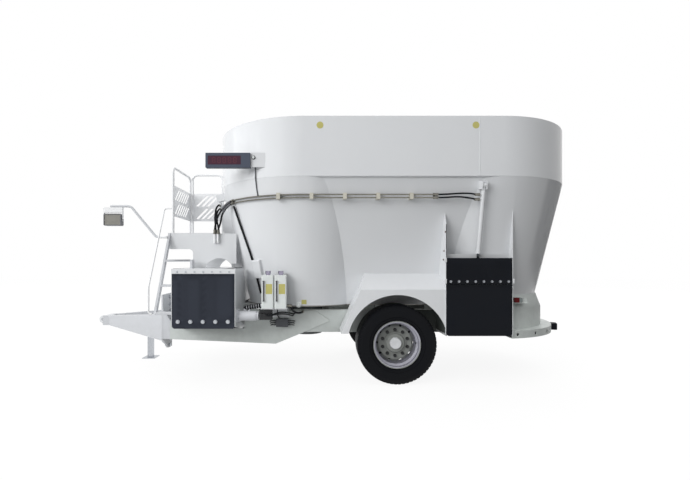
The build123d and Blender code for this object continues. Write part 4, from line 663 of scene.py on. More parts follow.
def red_lens():
    # Red acrylic lamp lens with moulded prisms, 9 mm apart
    material = moulded("red_lens", "#660008", "#500006", 0.4, 12)
    shader_of(material).inputs["Specular IOR Level"].default_value = 0.2
    put_ridges(material, "X", 9, 0.002)
    return material


def clear_lens():
    # Grey reversing lens beside the red one
    return moulded("clear_lens", "#848C8C", "#767E7E", 0.3, 12)


def yellow_vinyl():
    # Plain yellow self-adhesive film
    return moulded("yellow_vinyl", "#C2BC74", "#B5AF66", 0.4, 18)


def sight_tube():
    # Dark oil behind a clear sight tube
    return moulded("sight_tube", "#4B4A52", "#3E3D45", 0.15, 15)


WHITE = gloss_white_enamel()
DIRT_AND_SHADE = dirt_and_shade_enamel()
LIT_WHITE = lit_white_enamel()
DRAWBAR_SHADE = drawbar_shade_enamel()
SILVER = silver_wheel_enamel()
DISC = wheel_disc_enamel()
DECK = deck_plate_enamel()
CLIP = cream_clip()
CAST = cast_iron_paint()
MOTOR = motor_paint()
DARK = phosphate_black_and_shade()
ARCH_SHADE = arch_shade_coat()
TYRE = tyre_rubber()
SHEET = rubber_sheet_and_gap_shadow()
FLAP = flap_rubber()
HOSE = hose_rubber()
SHEATH = cable_sheath()
CONDUIT = corrugated_conduit()
ZINC = zinc_plate()
DULL = dull_zinc()
PIPE = passivated_pipe()
WORN = worn_steel()
CHROME = hard_chrome()
DARK_REFLECTION_ROD = rod_painted_dark_reflection()
RUST = rusted_bolt()
TANK = tank_polyethylene()
GREY = grey_housing()
LAMP = grey_nylon_and_highlight()
COAT = display_coat()
WINDOW = smoked_window()
DIGITS = digit_segments()
LENS = lamp_lens()
REFLECTOR = lamp_reflector()
BULB_HIGHLIGHT = lamp_bulb_highlight()
RED = red_lens()
CLEAR = clear_lens()
YELLOW = yellow_vinyl()
SIGHT = sight_tube()


# Hoses, conduit and cables follow the routes of their solids

PIPE_Z = 2.345
PIPE_LEVELS = (2.364, 2.326)
PIPE_REACH = cone_radius(PIPE_Z) + 0.022
PIPE_REAR_X = 1.315
PIPE_TURN = math.radians(-142)
PORT_LEVELS = (2.356, 2.301)
CYLINDER_OUT = 0.057
CYLINDER_X = 1.9135
HOSE_RADIUS = 0.013
FITTING_LINES = (-1.504, -1.459)
FITTING_OUT_Y = -0.632
FITTING_IN_Y = -0.56
FITTING_Z = 1.815
FITTING_OUT_TOP = 1.92
FITTING_IN_TOP = 1.88
CHASSIS_FACE = -0.712


def hose(name, points, radius=HOSE_RADIUS):
    return tube(name, points, radius, HOSE, "hoses")


def offsets(place, steps):
    return [tuple(Vector(place) + Vector(step)) for step in steps]


def hose_end():
    # A hex nut and a crimped collar along +X, the model of every hose end
    nut_rim = [(0, 0.017), (0.002, 0.019), (0.018, 0.019), (0.02, 0.017)]
    collar_rim = [(0.02, 0.0155), (0.023, 0.0165), (0.034, 0.0165), (0.036, 0.0152), (0.04, 0.0152),
                  (0.042, 0.0165), (0.058, 0.0165), (0.062, 0.014)]
    nut = solid_round("hose_nut", nut_rim, ORIGIN, REAR, UP, 6)
    collar = solid_round("hose_collar", collar_rim, ORIGIN, REAR, UP, 24)
    piece = joined("hose_end", [nut, collar])
    smooth(piece, 30)
    return dress(piece, PIPE, "bolts")


def put_ends(end, name, number, points, first, last):
    set_along(end, name + "_start" + number, points[0], first)
    set_along(end, name + "_stop" + number, points[-1], last)


def side_hoses(end):
    barrel_radius = 0.026
    stop = CYLINDER_X - barrel_radius - 0.014
    for number, (level, port) in enumerate(zip(PIPE_LEVELS, PORT_LEVELS)):
        y = -cone_radius(port) - CYLINDER_OUT
        points = offsets((PIPE_REAR_X, -PIPE_REACH, level), (ORIGIN, (0.14, 0, 0), (0.3, -0.008, 0.012)))
        points += offsets((stop, y, port), ((-0.12, -0.004, 0.016), (-0.05, 0, 0), ORIGIN))
        piece = hose("side_hose_" + str(number), points, 0.0105)
        if number == 0:
            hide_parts("hoses")
        put_ends(end, "side_hose", "_" + str(number), points, REAR, (-1, 0, 0))


def outer_front_hoses(end):
    # From the front ends of the pipes down to the fittings on the platform's side plate
    start = Vector((FRONT_AUGER_X + PIPE_REACH * math.cos(PIPE_TURN), PIPE_REACH * math.sin(PIPE_TURN), 0))
    ahead = Vector((math.sin(PIPE_TURN), -math.cos(PIPE_TURN), 0))
    routes = (((0.154, -0.023, 0.4), (0.045, -0.008, 0.255), (0, 0, 0.09), (0, 0, 0)),
              ((0.129, -0.028, 0.37), (0.059, -0.008, 0.28), (0.034, -0.004, 0.14), (0, 0, 0.06), (0, 0, 0)))
    for number, (level, x, steps) in enumerate(zip(PIPE_LEVELS, FITTING_LINES, routes)):
        first = start + Vector((0, 0, level))
        points = [tuple(first), tuple(first + ahead * 0.07)]
        points += offsets((x, FITTING_OUT_Y, FITTING_OUT_TOP), steps)
        hose("outer_front_hose_" + str(number), points)
        hose_guard("outer_hose_guard_" + str(number), points, 0.07, 0.26)
        put_ends(end, "outer_hose", "_" + str(number), points, ahead, UP)


def inner_front_hoses(end):
    # From the fittings behind the plate up to the front door's cylinder
    routes = (((0, 0, 0), (-0.002, 0.005, 0.11), (-0.026, 0.04, 0.27), (-0.036, 0.13, 0.41)),
              ((0, 0, 0), (-0.003, 0.005, 0.09), (-0.041, 0.04, 0.22), (-0.071, 0.13, 0.355)))
    for number, (x, port, steps) in enumerate(zip(FITTING_LINES, PORT_LEVELS, routes)):
        axis = FRONT_AUGER_X - cone_radius(port) - CYLINDER_OUT
        points = offsets((x, FITTING_IN_Y, FITTING_IN_TOP), steps)
        points += offsets((axis, -0.29, port), ((-0.008, -0.095, -0.014), (0, -0.045, 0), (0, 0, 0)))
        hose("inner_front_hose_" + str(number), points)
        put_ends(end, "inner_hose", "_" + str(number), points, UP, LEFT)


def platform_elbows():
    # Painted bulkhead elbows that carry the two front hoses through the plate
    x = FITTING_LINES[0]
    radius = 0.0145
    nut_radius = 0.024
    edge = 0.002
    foot = FITTING_Z - 0.015
    middle = (x, 0, FITTING_Z)

    def stem(name, y, top):
        rim = [(foot, radius - edge), (foot + edge, radius), (top, radius)]
        return solid_round(name, rim, (x, y, 0), UP, REAR, 24)

    def nut(name, y0, y1):
        rim = [(y0, nut_radius - edge), (y0 + edge, nut_radius), (y1 - edge, nut_radius),
               (y1, nut_radius - edge)]
        return solid_round(name, rim, middle, RIGHT, REAR, 6)

    through = [(FITTING_OUT_Y, radius), (FITTING_IN_Y, radius)]
    pieces = [stem("platform_elbow", FITTING_OUT_Y, FITTING_OUT_TOP),
              solid_round("elbow_through", through, middle, RIGHT, REAR, 24),
              stem("elbow_inner", FITTING_IN_Y, FITTING_IN_TOP),
              nut("elbow_nut_outside", -0.613, -0.6), nut("elbow_nut_inside", -0.592, -0.579)]
    first = joined("platform_elbow_front", pieces)
    smooth(first, 30)
    # The elbows take the whiter enamel, as painted light
    dress(first, LIT_WHITE, "bolts")
    second = copy_of(first, "platform_elbow_rear", (FITTING_LINES[1] - x, 0, 0))
    dress(second, LIT_WHITE, "bolts")


def cone_place(turn, z, offset):
    reach = cone_radius(z) + offset
    angle = math.radians(180 + turn)
    return (FRONT_AUGER_X + reach * math.cos(angle), reach * math.sin(angle), z)


def conduit():
    # From the ends of the pipes down the cone, through the cable cover
    route = ((37.6, 0.06, 0.014), (38.8, 0.13, 0.012), (40.2, 0.27, 0.008), (47.8, 0.778, 0.007),
             (48.9, 1.046, 0.004), (50.3, 1.225, 0.0002))
    points = [cone_place(turn, PIPE_Z - drop, 0.0143 + lift) for turn, drop, lift in route]
    tube("front_conduit", points, 0.014, CONDUIT, "hoses")


def display_cable():
    # Down the belt, over the seam and down the cone to the upper pipe, a little out of line
    places = ((60.9, TUB_RADIUS, 2.722), (61.2, TUB_RADIUS, 2.65), (61.0, TUB_RADIUS + 0.006, SEAM_Z))
    points = []
    for turn, radius, z in places:
        angle = math.radians(180 + turn)
        reach = radius + 0.0083
        points.append((FRONT_AUGER_X + reach * math.cos(angle), reach * math.sin(angle), z))
    on_the_cone = ((61.1, 2.54, 0.011), (60.7, 2.46, 0.0085), (61.0, 2.3735, 0.0083))
    points += [cone_place(*place) for place in on_the_cone]
    tube("display_cable", points, 0.0068, SHEATH, "hoses")


def tank_hose(end):
    x = -0.483
    y = -1.0375
    points = [(x, y, 0.988), (x + 0.04, y, 0.988), (x + 0.075, y + 0.05, 0.908), (x + 0.13, y + 0.13, 0.875),
              (x + 0.185, -0.812, 0.875), (x + 0.185, CHASSIS_FACE, 0.875)]
    hose("tank_hose", points)
    put_ends(end, "tank_hose", "", points, REAR, LEFT)


def guide_line(points):
    return tube("guide", points, 0.0, HOSE, "hoses")


def length_of(guide):
    mesh = bpy.data.meshes.new_from_object(guide)
    places = [point.co for point in mesh.vertices]
    return sum((after - before).length for before, after in zip(places, places[1:]))


def bent_rings(name, outline, guide, material, groove, groove_material):
    # A ringed tube turned straight, with its grooves in a second finish, and then bent along its route
    piece = lathe(name, outline, ORIGIN, REAR, UP, 32)
    dress(piece, material, "hoses")
    repaint(piece, groove_material, lambda middle, normal: math.hypot(middle.y, middle.z) < groove)
    bend = piece.modifiers.new("route", "CURVE")
    bend.object = guide
    bend.deform_axis = "POS_X"
    apply_all(piece)
    bpy.data.objects.remove(guide)
    smooth(piece, 40)


def hose_guard(name, points, start, stop):
    # A grey guard of rings round a stretch of hose, 12 mm from ring to ring, its grey partly a painted
    # highlight
    inside = HOSE_RADIUS + 0.0001
    groove = 0.0145
    crest = 0.0168
    pitch = 0.012
    outline = [(start, inside), (start, groove)]
    for number in range(int((stop - start) / pitch)):
        for run, radius in ((0.001, groove), (0.002, crest), (0.009, crest), (0.01, groove)):
            outline.append((start + pitch * number + run, radius))
    outline += [(stop, groove), (stop, inside)]
    bent_rings(name, outline, guide_line(points), LAMP, 0.0155, HOSE)


def motor_sleeve():
    # A ribbed rubber sleeve with an open bore and a pale core between its ribs
    route = [(-1.018, -1.01, 0.93), (-1.014, -1.012, 0.955), (-0.985, -1.015, 0.962), (-0.9, -1.015, 0.974),
             (-0.797, -1.01, 0.99)]
    guide = guide_line(route)
    length = length_of(guide)
    ends = 0.016
    ribs = 7
    pitch = (length - 2 * ends) / ribs
    bore = 0.011
    core = 0.019
    rib = ((0.05, core), (0.09, 0.0262), (0.17, 0.0296), (0.42, 0.0302), (0.67, 0.0296), (0.75, 0.0262),
           (0.79, core))
    outline = [(0, bore), (0, core)]
    for number in range(ribs):
        outline += [(ends + number * pitch + share * pitch, radius) for share, radius in rib]
    outline += [(length, core), (length, bore), (0, bore)]
    bent_rings("motor_sleeve", outline, guide, HOSE, core + 0.0005, MOTOR)


def junction_cables():
    # Short black cables from the junction box's glands, turned back to the chassis plate
    gland_y = -0.747
    for side, start in ((-1, -0.679), (1, -0.459)):
        for number, z in enumerate((0.702, 0.729, 0.756)):
            reach = side * (0.045 + 0.006 * number)
            points = [(start, gland_y, z), (start + 0.4 * reach, gland_y, z),
                      (start + 0.9 * reach, gland_y + 0.002, z - 0.003),
                      (start + reach, -0.728, z - 0.009), (start + reach, CHASSIS_FACE, z - 0.014)]
            hose("junction_cable_" + str(2 * number + (side + 1) // 2), points, 0.005)
    points = [(-0.6, -1.04, 0.952), (-0.6, -1.035, 0.9), (-0.61, -0.98, 0.86), (-0.625, -0.85, 0.84),
              (-0.62, -0.76, 0.82), (-0.61, gland_y, 0.781)]
    hose("junction_feed", points, 0.007)


def valve_hoses():
    # Two hoses from the valve block's outlets, along under the tanks and back to the chassis plate
    for number, x in enumerate((-0.695, -0.732)):
        low = 0.022 * number
        points = [(x, -1.09, 0.88), (x, -1.125, 0.88), (x + 0.025, -1.148, 0.883 - low / 2),
                  (x + 0.09, -1.135, 0.905 - low), (-0.555, -1.09, 0.915 - low), (-0.47, -1.0, 0.895 - low),
                  (-0.42 - low, -0.88, 0.865 - low), (-0.4 - low, -0.77, 0.85 - low),
                  (-0.4 - low, CHASSIS_FACE, 0.85 - low)]
        hose("valve_hose_" + str(number), points, 0.009)


def hose_plug():
    # A cream cap over the oil port at the tub's foot
    port = (-0.343, -0.868, 0.985)
    rim = [(0, 0.032), (0.006, 0.037), (0.026, 0.037), (0.03, 0.034), (0.036, 0.025), (0.05, 0.024),
           (0.053, 0.02)]
    piece = solid_round("hose_plug", rim, port, LEFT, REAR, 32)
    smooth(piece, 35)
    dress(piece, TANK, "pipe_clips")


# Tub, chassis and the other steel pieces keep their shape and get their finish

LAMP_SHELF_X = 2.35
BRAKE_Y = WHEEL_Y - 0.17
# The stretch of the rails behind the wheels, from the axle, that takes the painted shade
SHADED_STRETCH = (-0.05, 0.8)


def steel_work():
    for node in ("tub_front_shell", "tub_rear_shell", "tub_side_panels", "tub_belt"):
        skin(node, WHITE, 0.003)
    # Painted shade: the drawbar and the stand take the darker copy of the white enamel
    for node in ("drawbar", "stand_tube"):
        skin(node, DRAWBAR_SHADE, 0.003)
    for node in ("outlet_plates", "conveyor_plates", "conveyor_bed", "cylinder_barrels"):
        skin(node, WHITE, 0.002)
    # The lamp's shelf past LAMP_SHELF_X takes the darker chassis enamel, with its painted shade
    repaint(skin("brackets", WHITE, 0.002), DIRT_AND_SHADE, lambda middle, normal: middle.x > LAMP_SHELF_X)
    # Painted light: the railing takes the whiter copy of the enamel; its lamp arm takes the darker drawbar
    # enamel as painted shade
    skin("railing_panels", LIT_WHITE, 0.002)
    repaint(skin("railing", LIT_WHITE, 0.002), DRAWBAR_SHADE, on_lamp_arm)
    # The rear skirt takes the darker chassis enamel as painted shade on the shaded rear
    skin("rear_skirt", DIRT_AND_SHADE, 0.003)
    # The axle beam takes the darker chassis enamel with its painted shade, and its brake plates and drums are
    # painted near-black as shade seen through the hand holes
    repaint(skin("axle_beam", DIRT_AND_SHADE, 0.003), DARK, lambda middle, normal: abs(middle.y) > BRAKE_Y)
    for node in ("load_cells", "drive_roller", "idler_roller", "driveline", "flap_weight"):
        skin(node, ZINC, 0.001)
    repaint(skin("bolts", ZINC, 0.001), DULL, on_seal)
    for node in ("tub_floor", "auger_front", "auger_rear", "knives_front", "knives_rear"):
        skin(node, WORN, 0.0015)
    skin("side_pipes", PIPE, 0.001)
    skin("pipe_clips", CLIP, 0.002)
    skin("stand_leg", ZINC, 0.001)
    skin("gearboxes", CAST, 0.004)
    skin("hitch_eye", WHITE, 0.002)


def on_seal(middle, normal):
    # The bolts on the outer face of the side outlet
    return middle.x > 1.4 and middle.y < -1.1


def on_lamp_arm(middle, normal):
    # The bent arm in front of the platform, without the yoke under its end
    yoke_x = -2.74
    yoke_top = 2.2845
    arm_x = -2.25
    arm_low = 1.8
    on_yoke = middle.x < yoke_x and middle.z < yoke_top
    return middle.x < arm_x and middle.z > arm_low and not on_yoke


def chassis():
    # The rails take the darker chassis enamel with its painted shade, are painted dark behind the wheels as
    # shade under the arches, and their head is painted as the drawbar is
    rails = skin("chassis_rails", DIRT_AND_SHADE, 0.003)
    first, last = (AXLE.x + step for step in SHADED_STRETCH)
    slice_faces(rails, 0, (HEAD_X, first, last))
    repaint(rails, DRAWBAR_SHADE, lambda middle, normal: middle.x < HEAD_X)
    repaint(rails, ARCH_SHADE, lambda middle, normal: first < middle.x < last and abs(normal.y) > 0.7)
    repaint(skin("chassis_crossmembers", DIRT_AND_SHADE, 0.003), DRAWBAR_SHADE, lambda middle, normal: middle.x < HEAD_X)


def outlet():
    # The front upright's narrow face is painted rubber black, as the shadow in the gap beside the rubber
    seal_top = 1.62

    def gap_shadow_face(middle, normal):
        on_upright = 1.48 < middle.x < 1.52 and middle.y < -1.12
        return normal.y < -0.9 and on_upright and middle.z < seal_top

    repaint(skin("door_rails", WHITE, 0.002), SHEET, gap_shadow_face)


def mudguards():
    inner_wall = 0.72
    outer_wall = 1.126

    # Painted shade on the inside of the mudguards behind the axle
    def shaded_inside_rear(middle, normal):
        inwards = normal.y * middle.y < -0.4 or normal.z < -0.4 or normal.x < -0.4
        return inwards and middle.x > AXLE.x - 0.2 and inner_wall < abs(middle.y) < outer_wall

    repaint(skin("fenders", WHITE, 0.003), ARCH_SHADE, shaded_inside_rear)


def decks():
    def on_top(middle, normal):
        return normal.z > 0.9

    repaint(skin("platform", WHITE, 0.002), DECK, on_top)
    # The ladder takes the darker drawbar enamel, as painted shade
    repaint(skin("ladder", DRAWBAR_SHADE, 0.002), DECK, on_top)


def doors():
    rod_foot = 1.17

    def is_rod(middle, normal):
        outside_door = middle.y < -cone_radius(middle.z) - 0.037
        return abs(middle.x - CYLINDER_X) < 0.018 and outside_door and middle.z > rod_foot

    # The piston rod takes steel darkened as a painted reflection
    repaint(skin("side_door", WHITE, 0.0015), DARK_REFLECTION_ROD, is_rod)
    skin("front_door", WHITE, 0.0015)


def weld_beads():
    # A bead along the foot of the belt, and one up the belt's joint
    drop_all()
    bpy.ops.mesh.primitive_circle_add(vertices=160, radius=TUB_RADIUS - 0.004,
                                      location=(FRONT_AUGER_X, 0, SEAM_Z - 0.004))
    piece = bpy.context.object
    piece.name = "belt_weld"
    settle()
    pick_points(piece, lambda place: place.x > FRONT_AUGER_X + 0.001)
    bpy.ops.transform.translate(value=(REAR_AUGER_X - FRONT_AUGER_X, 0, 0))
    close_mesh()
    bpy.ops.object.convert(target="CURVE")
    piece.data.bevel_depth = 0.004
    piece.data.bevel_resolution = 2
    bpy.ops.object.convert(target="MESH")
    smooth(piece, 60)
    dress(piece, WHITE, "tub_belt")
    places = [(1.875, -TUB_RADIUS - 0.0005, z) for z in (2.59, 2.95, 3.309)]
    tube("belt_joint_weld", places, 0.003, WHITE, "tub_belt")


def on_cone(model, name, turn, z, offset):
    # A copy of a plate that was made along +X, laid on the front cone
    angle = math.radians(180 + turn)
    square = (math.cos(angle), math.sin(angle), -CONE_SLOPE)
    return set_along(model, name, cone_place(turn, z, offset), square)


def cable_cover():
    # A pressed steel cover over the cable joint on the front cone
    model = bar("cover_model", (-0.012, -0.075, -0.123), (0.036, 0.075, 0.123))
    pick_faces(model, lambda middle, normal: normal.x > 0.9)
    bpy.ops.mesh.inset(thickness=0.012)
    bpy.ops.transform.translate(value=(0.006, 0, 0))
    close_mesh()
    round_edges(model, 0.003, 2, 20)
    smooth(model)
    cover = on_cone(model, "cable_cover", 51.3, 1.449, 0.0)
    dress(cover, WHITE, "brackets")
    bpy.data.objects.remove(model)


def cone_patch():
    # A plain yellow patch on the foot of the front cone
    model = bar("patch_model", (-0.0004, -0.0325, -0.03), (0.0012, 0.0325, 0.03))
    round_corners(model, 0, 0.005, 4)
    patch = on_cone(model, "cone_patch", 89.3, 1.02, 0.0)
    dress(patch, YELLOW, "tub_front_shell")
    bpy.data.objects.remove(model)


def yellow_markers():
    # Plain yellow discs on the belt and plain patches on the tanks
    disc_outline = [(0, 0), (0.0012, 0), (0.0012, 0.0405), (0.0006, 0.042), (-0.0004, 0.042)]
    first = lathe("belt_marker_front", disc_outline, (-0.064, -TUB_RADIUS, 3.2), LEFT, REAR, 48)
    dress(first, YELLOW, "tub_belt")
    second = copy_of(first, "belt_marker_rear", (1.89, 0, 0))
    dress(second, YELLOW, "tub_belt")
    for number, (x0, x1) in enumerate(((-0.742, -0.662), (-0.58, -0.5))):
        patch = bar("tank_patch_" + str(number), (x0, -1.1008, 1.14), (x1, -1.0995, 1.265))
        round_corners(patch, 1, 0.006, 4)
        dress(patch, YELLOW, "oil_tanks")


# Fasteners and small plates

def cap_bolt():
    # A hex head with a washer along +X, the model of the small bolts
    washer_rim = [(0, 0.0125), (0.0015, 0.0135), (0.002, 0.0125)]
    head_rim = [(0.002, 0.009), (0.007, 0.009), (0.009, 0.0078)]
    washer = solid_round("bolt_washer", washer_rim, ORIGIN, REAR, UP, 24)
    head = solid_round("bolt_head", head_rim, ORIGIN, REAR, UP, 6)
    piece = joined("cap_bolt", [washer, head])
    return dress(piece, ZINC, "bolts")


def small_bolts():
    model = cap_bolt()
    places = []
    for number in range(7):
        places.append(((-1.84 + number * 0.108, -1.13, 1.416), (0, -1, 0)))
    for turn in range(6):
        angle = math.radians(60 * turn + 30)
        places.append(((-1.096, -1.01 + 0.073 * math.cos(angle), 0.857 + 0.073 * math.sin(angle)), (1, 0, 0)))
    for number, (place, direction) in enumerate(places):
        set_along(model, "small_bolt_" + str(number), place, direction)
    for number, z in enumerate((1.915, 1.68, 1.57)):
        bolt = set_along(model, "rail_bolt_" + str(number), (1.498, -cone_radius(z) - 0.022, z), (-1, 0, 0))
        dress(bolt, RUST, "bolts")
    bpy.data.objects.remove(model)


def seal_tabs():
    # White end tabs of the seal's clamp bars, welded to the outlet's uprights
    places = ((1.478, 1.506, 1.565), (1.478, 1.506, 1.302), (2.321, 2.345, 1.302))
    for number, (x0, x1, z) in enumerate(places):
        tab = bar("seal_tab_" + str(number), (x0, -1.148, z - 0.03), (x1, -1.1405, z + 0.03))
        round_edges(tab, 0.0025)
        smooth(tab)
        dress(tab, WHITE, "outlet_plates")


# Display, lamps and tanks

def turned_segment(segment, name, place, upright):
    twin = copy_of(segment, name, (0, 0, 0))
    if upright:
        twin.rotation_euler = (0, math.pi / 2, 0)
    twin.location = place
    only(twin)
    settle()
    return twin


def digit_model():
    # Seven pointed bars in the shape of a figure eight, round the origin
    segment = bar("segment", (-0.0135, -0.0004, -0.0035), (0.0135, 0.0004, 0.0035))
    round_corners(segment, 1, 0.0034, 1)
    places = [((0, 0, z), False) for z in (-0.034, 0, 0.034)]
    places += [((x, 0, z), True) for x in (-0.017, 0.017) for z in (-0.017, 0.017)]
    bars = [turned_segment(segment, "segment_" + str(number), place, upright)
            for number, (place, upright) in enumerate(places)]
    bpy.data.objects.remove(segment)
    return joined("digit", bars)


def display():
    skin("display_case", COAT, 0.003)
    skin("display_window", WINDOW, 0.001)
    low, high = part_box("display_window")
    middle = (Vector(low) + Vector(high)) / 2
    model = digit_model()
    digits = []
    for number in range(5):
        x = middle.x - 0.13 + number * 0.065
        digits.append(copy_of(model, "digit_" + str(number), (x, low[1] - 0.0003, middle.z)))
    bpy.data.objects.remove(model)
    dress(joined("display_digits", digits), DIGITS, "display_window")
    low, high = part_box("display_case")
    spot = (high[0] + 0.038, -1.155, 2.83)
    collar_rim = [(0, 0.024), (0.004, 0.024), (0.006, 0.021)]
    collar = solid_round("display_knob_collar", collar_rim, spot, LEFT, REAR, 32)
    smooth(collar, 35)
    dress(collar, DARK, "display_case")
    knob_outline = [(0.006, 0), (0.006, 0.016), (0.02, 0.0155), (0.024, 0.012), (0.025, 0)]
    knob = lathe("display_knob", knob_outline, spot, LEFT, REAR, 32)
    smooth(knob, 35)
    dress(knob, TANK, "display_case")


def lamp_lens_plate():
    # The lens has upright flutes, 9 mm apart, on its outer face
    low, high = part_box("lamp_glass")
    piece = bar("lamp_fluted_lens", low, high)
    half = 0.0045
    count = int((high[0] - low[0]) / half)
    slice_faces(piece, 0, [low[0] + number * half for number in range(1, count)])

    def in_groove(place):
        return place.y < low[1] + 0.001 and round((place.x - low[0]) / half) % 2 == 1

    pick_points(piece, in_groove)
    bpy.ops.transform.translate(value=(0, 0.0025, 0))
    close_mesh()
    smooth(piece, 60)
    dress(piece, LENS, "lamp_glass")
    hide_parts("lamp_glass")


def lamp_inside():
    low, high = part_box("lamp_glass")
    centre = ((low[0] + high[0]) / 2, low[1] + 0.033, (low[2] + high[2]) / 2)
    bowl_outline = [(0, 0), (0.001, 0.02), (0.006, 0.043), (0.015, 0.058), (0.0245, 0.066), (0.0255, 0.0665),
                    (0.0155, 0.06), (0.005, 0.0455), (-0.0005, 0.021), (-0.001, 0)]
    bowl = lathe("lamp_bowl", bowl_outline, centre, LEFT, REAR, 48)
    only(bowl)
    edit()
    take_all()
    bpy.ops.transform.resize(value=(1.55, 1, 1), center_override=centre)
    close_mesh()
    smooth(bowl, 50)
    dress(bowl, REFLECTOR, "lamp_glass")
    # The bulb's pale yellow stands for the warm highlight in the lens: a painted highlight
    bulb_outline = [(0, 0), (0, 0.012), (0.01, 0.012), (0.015, 0.009), (0.018, 0.005), (0.0185, 0)]
    bulb = lathe("lamp_bulb_highlight", bulb_outline, centre, LEFT, REAR, 24)
    smooth(bulb, 50)
    dress(bulb, BULB_HIGHLIGHT, "lamp_glass")


def lamps():
    skin("lamp_head", LAMP, 0.003)
    lamp_lens_plate()
    lamp_inside()
    lamp = skin("rear_lamps", RED, 0.002)
    low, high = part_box("rear_lamps")
    parting = low[0] + 0.6 * (high[0] - low[0])
    slice_faces(lamp, 0, (parting,))
    repaint(lamp, CLEAR, lambda middle, normal: middle.x > parting)


def tanks():
    skin("oil_tanks", TANK, 0.006)
    fittings = skin("tank_fittings", CHROME, 0.001)
    repaint(fittings, SIGHT, lambda middle, normal: middle.z < 1.37)


def boxes():
    piece = skin("control_boxes", GREY, 0.002)
    repaint(piece, DARK, lambda middle, normal: middle.z > 0.8)
    skin("conveyor_motor", MOTOR, 0.002)


# Rubber

def hung_rubber(node, material):
    # A rubber sheet divided into squares and given the slow waves of a hanging sheet
    step = 0.045
    piece = skin(node, material, 0.002)
    low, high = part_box(node)
    for axis in (0, 2):
        count = int((high[axis] - low[axis]) / step)
        slice_faces(piece, axis, [low[axis] + number * step for number in range(1, count)])
    waves = bpy.data.textures.new(node + "_waves", "CLOUDS")
    waves.noise_scale = 0.5
    push = piece.modifiers.new("waves", "DISPLACE")
    push.texture = waves
    push.texture_coords = "LOCAL"
    push.direction = "Y"
    push.strength = 0.008
    apply_all(piece)
    smooth(piece, 38)


def rubber_pieces():
    for node, material in (("outlet_seal", SHEET), ("outlet_curtain", SHEET), ("conveyor_flap", FLAP)):
        hung_rubber(node, material)
    skin("conveyor_belt", SHEET, 0.002)
    skin("rear_buffers", SHEET, 0.004)


# Wheels

def wheel_tyre(name, node, side):
    low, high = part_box(node)
    half = (high[1] - low[1]) / 2
    radius = (high[2] - low[2]) / 2
    bead = 0.149
    wall = [(bead, 0.2865), (bead, 0.3025), (0.163, 0.309), (half - 0.016, 0.324), (half - 0.009, 0.331),
            (half - 0.004, 0.336), (half - 0.004, 0.342), (half - 0.009, 0.346), (half - 0.005, 0.353),
            (half - 0.002, 0.371), (half, 0.388), (half - 0.0005, 0.408), (half - 0.003, 0.43),
            (half - 0.002, 0.434), (half - 0.003, 0.438), (half - 0.008, 0.453), (half - 0.014, 0.466),
            (half - 0.02, 0.478), (half - 0.026, 0.49), (half - 0.034, 0.4965), (half - 0.06, radius)]
    tread = []
    bottom = radius - 0.012
    for middle in (0.105, 0.038):
        tread += [(middle + 0.006, radius), (middle + 0.005, bottom), (middle - 0.005, bottom),
                  (middle - 0.006, radius)]
    half_outline = wall + tread
    outline = half_outline + [(-run, r) for run, r in reversed(half_outline)] + [half_outline[0]]
    centre = Vector((AXLE.x, side * WHEEL_Y, AXLE.z))
    piece = lathe(name, outline, centre, RIGHT, REAR, 240)
    notch_tyre(piece, centre, half)
    smooth(piece, 30)
    dress(piece, TYRE, node)
    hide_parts(node)


def notch_tyre(piece, centre, half):
    # Every fourth column of the shoulder is pressed in, which leaves the shoulder lugs
    def on_shoulder(middle, normal):
        across = abs(middle.y - centre.y)
        turn = math.degrees(math.atan2(middle.z - centre.z, middle.x - centre.x)) % 360
        column = int(turn / 1.5)
        away = math.hypot(middle.z - centre.z, middle.x - centre.x)
        return half - 0.06 < across < half - 0.013 and away > 0.462 and column % 4 == 0

    pick_faces(piece, on_shoulder)
    bpy.ops.mesh.extrude_region_shrink_fatten(TRANSFORM_OT_shrink_fatten={"value": -0.008})
    leave()


def wheels():
    disc_radius = 0.236
    nut_ring = (0.142, 0.195)
    cap_radius = 0.08

    def reach(middle):
        return math.hypot(middle.x - AXLE.x, middle.z - AXLE.z)

    def out(middle):
        return abs(middle.y) - WHEEL_Y

    def on_nuts(middle, normal):
        return nut_ring[0] < reach(middle) < nut_ring[1] and out(middle) > 0.004

    for side, word in ((-1, "left"), (1, "right")):
        wheel_tyre("tyre_" + word + "_casing", "tyre_" + word, side)
        rim = skin("rim_" + word, SILVER, 0.002)
        repaint(rim, DISC, lambda middle, normal: reach(middle) < disc_radius)
        hub = skin("hub_" + word, DISC, 0.001)
        repaint(hub, DARK, on_nuts)
        repaint(hub, WHITE, lambda middle, normal: reach(middle) < cap_radius and out(middle) > 0.05)
        # The hub's inner part is painted near-black, as shade behind the disc
        repaint(hub, DARK, lambda middle, normal: out(middle) < -0.01)
        valve_stem(word, side)


def valve_stem(word, side):
    # A bent plated valve with a black cap, on the inside of the rim
    points = [(AXLE.x + dx, side * (WHEEL_Y + dy), AXLE.z + 0.012)
              for dx, dy in ((0.262, 0.035), (0.25, 0.045), (0.243, 0.07), (0.243, 0.105))]
    tube("tyre_valve_" + word, points, 0.005, ZINC, "rim_" + word)
    rim = [(0, 0.0065), (0.014, 0.0065), (0.016, 0.005)]
    cap = solid_round("valve_cap_" + word, rim, points[-1], (0, side, 0), REAR, 16)
    smooth(cap, 40)
    dress(cap, DARK, "rim_" + word)


# Light, floor and camera

def eye_rays(tree):
    # One for what is seen straight, mirrored or through glass, nought for light that falls on the wagon
    path = add(tree, "LightPath", {}, {})
    seen = add(tree, "Math", {"operation": "MAXIMUM"},
               {0: path.outputs["Is Camera Ray"], 1: path.outputs["Is Glossy Ray"]})
    seen = add(tree, "Math", {"operation": "MAXIMUM"},
               {0: seen, 1: path.outputs["Is Transmission Ray"]})
    return seen.outputs[0]


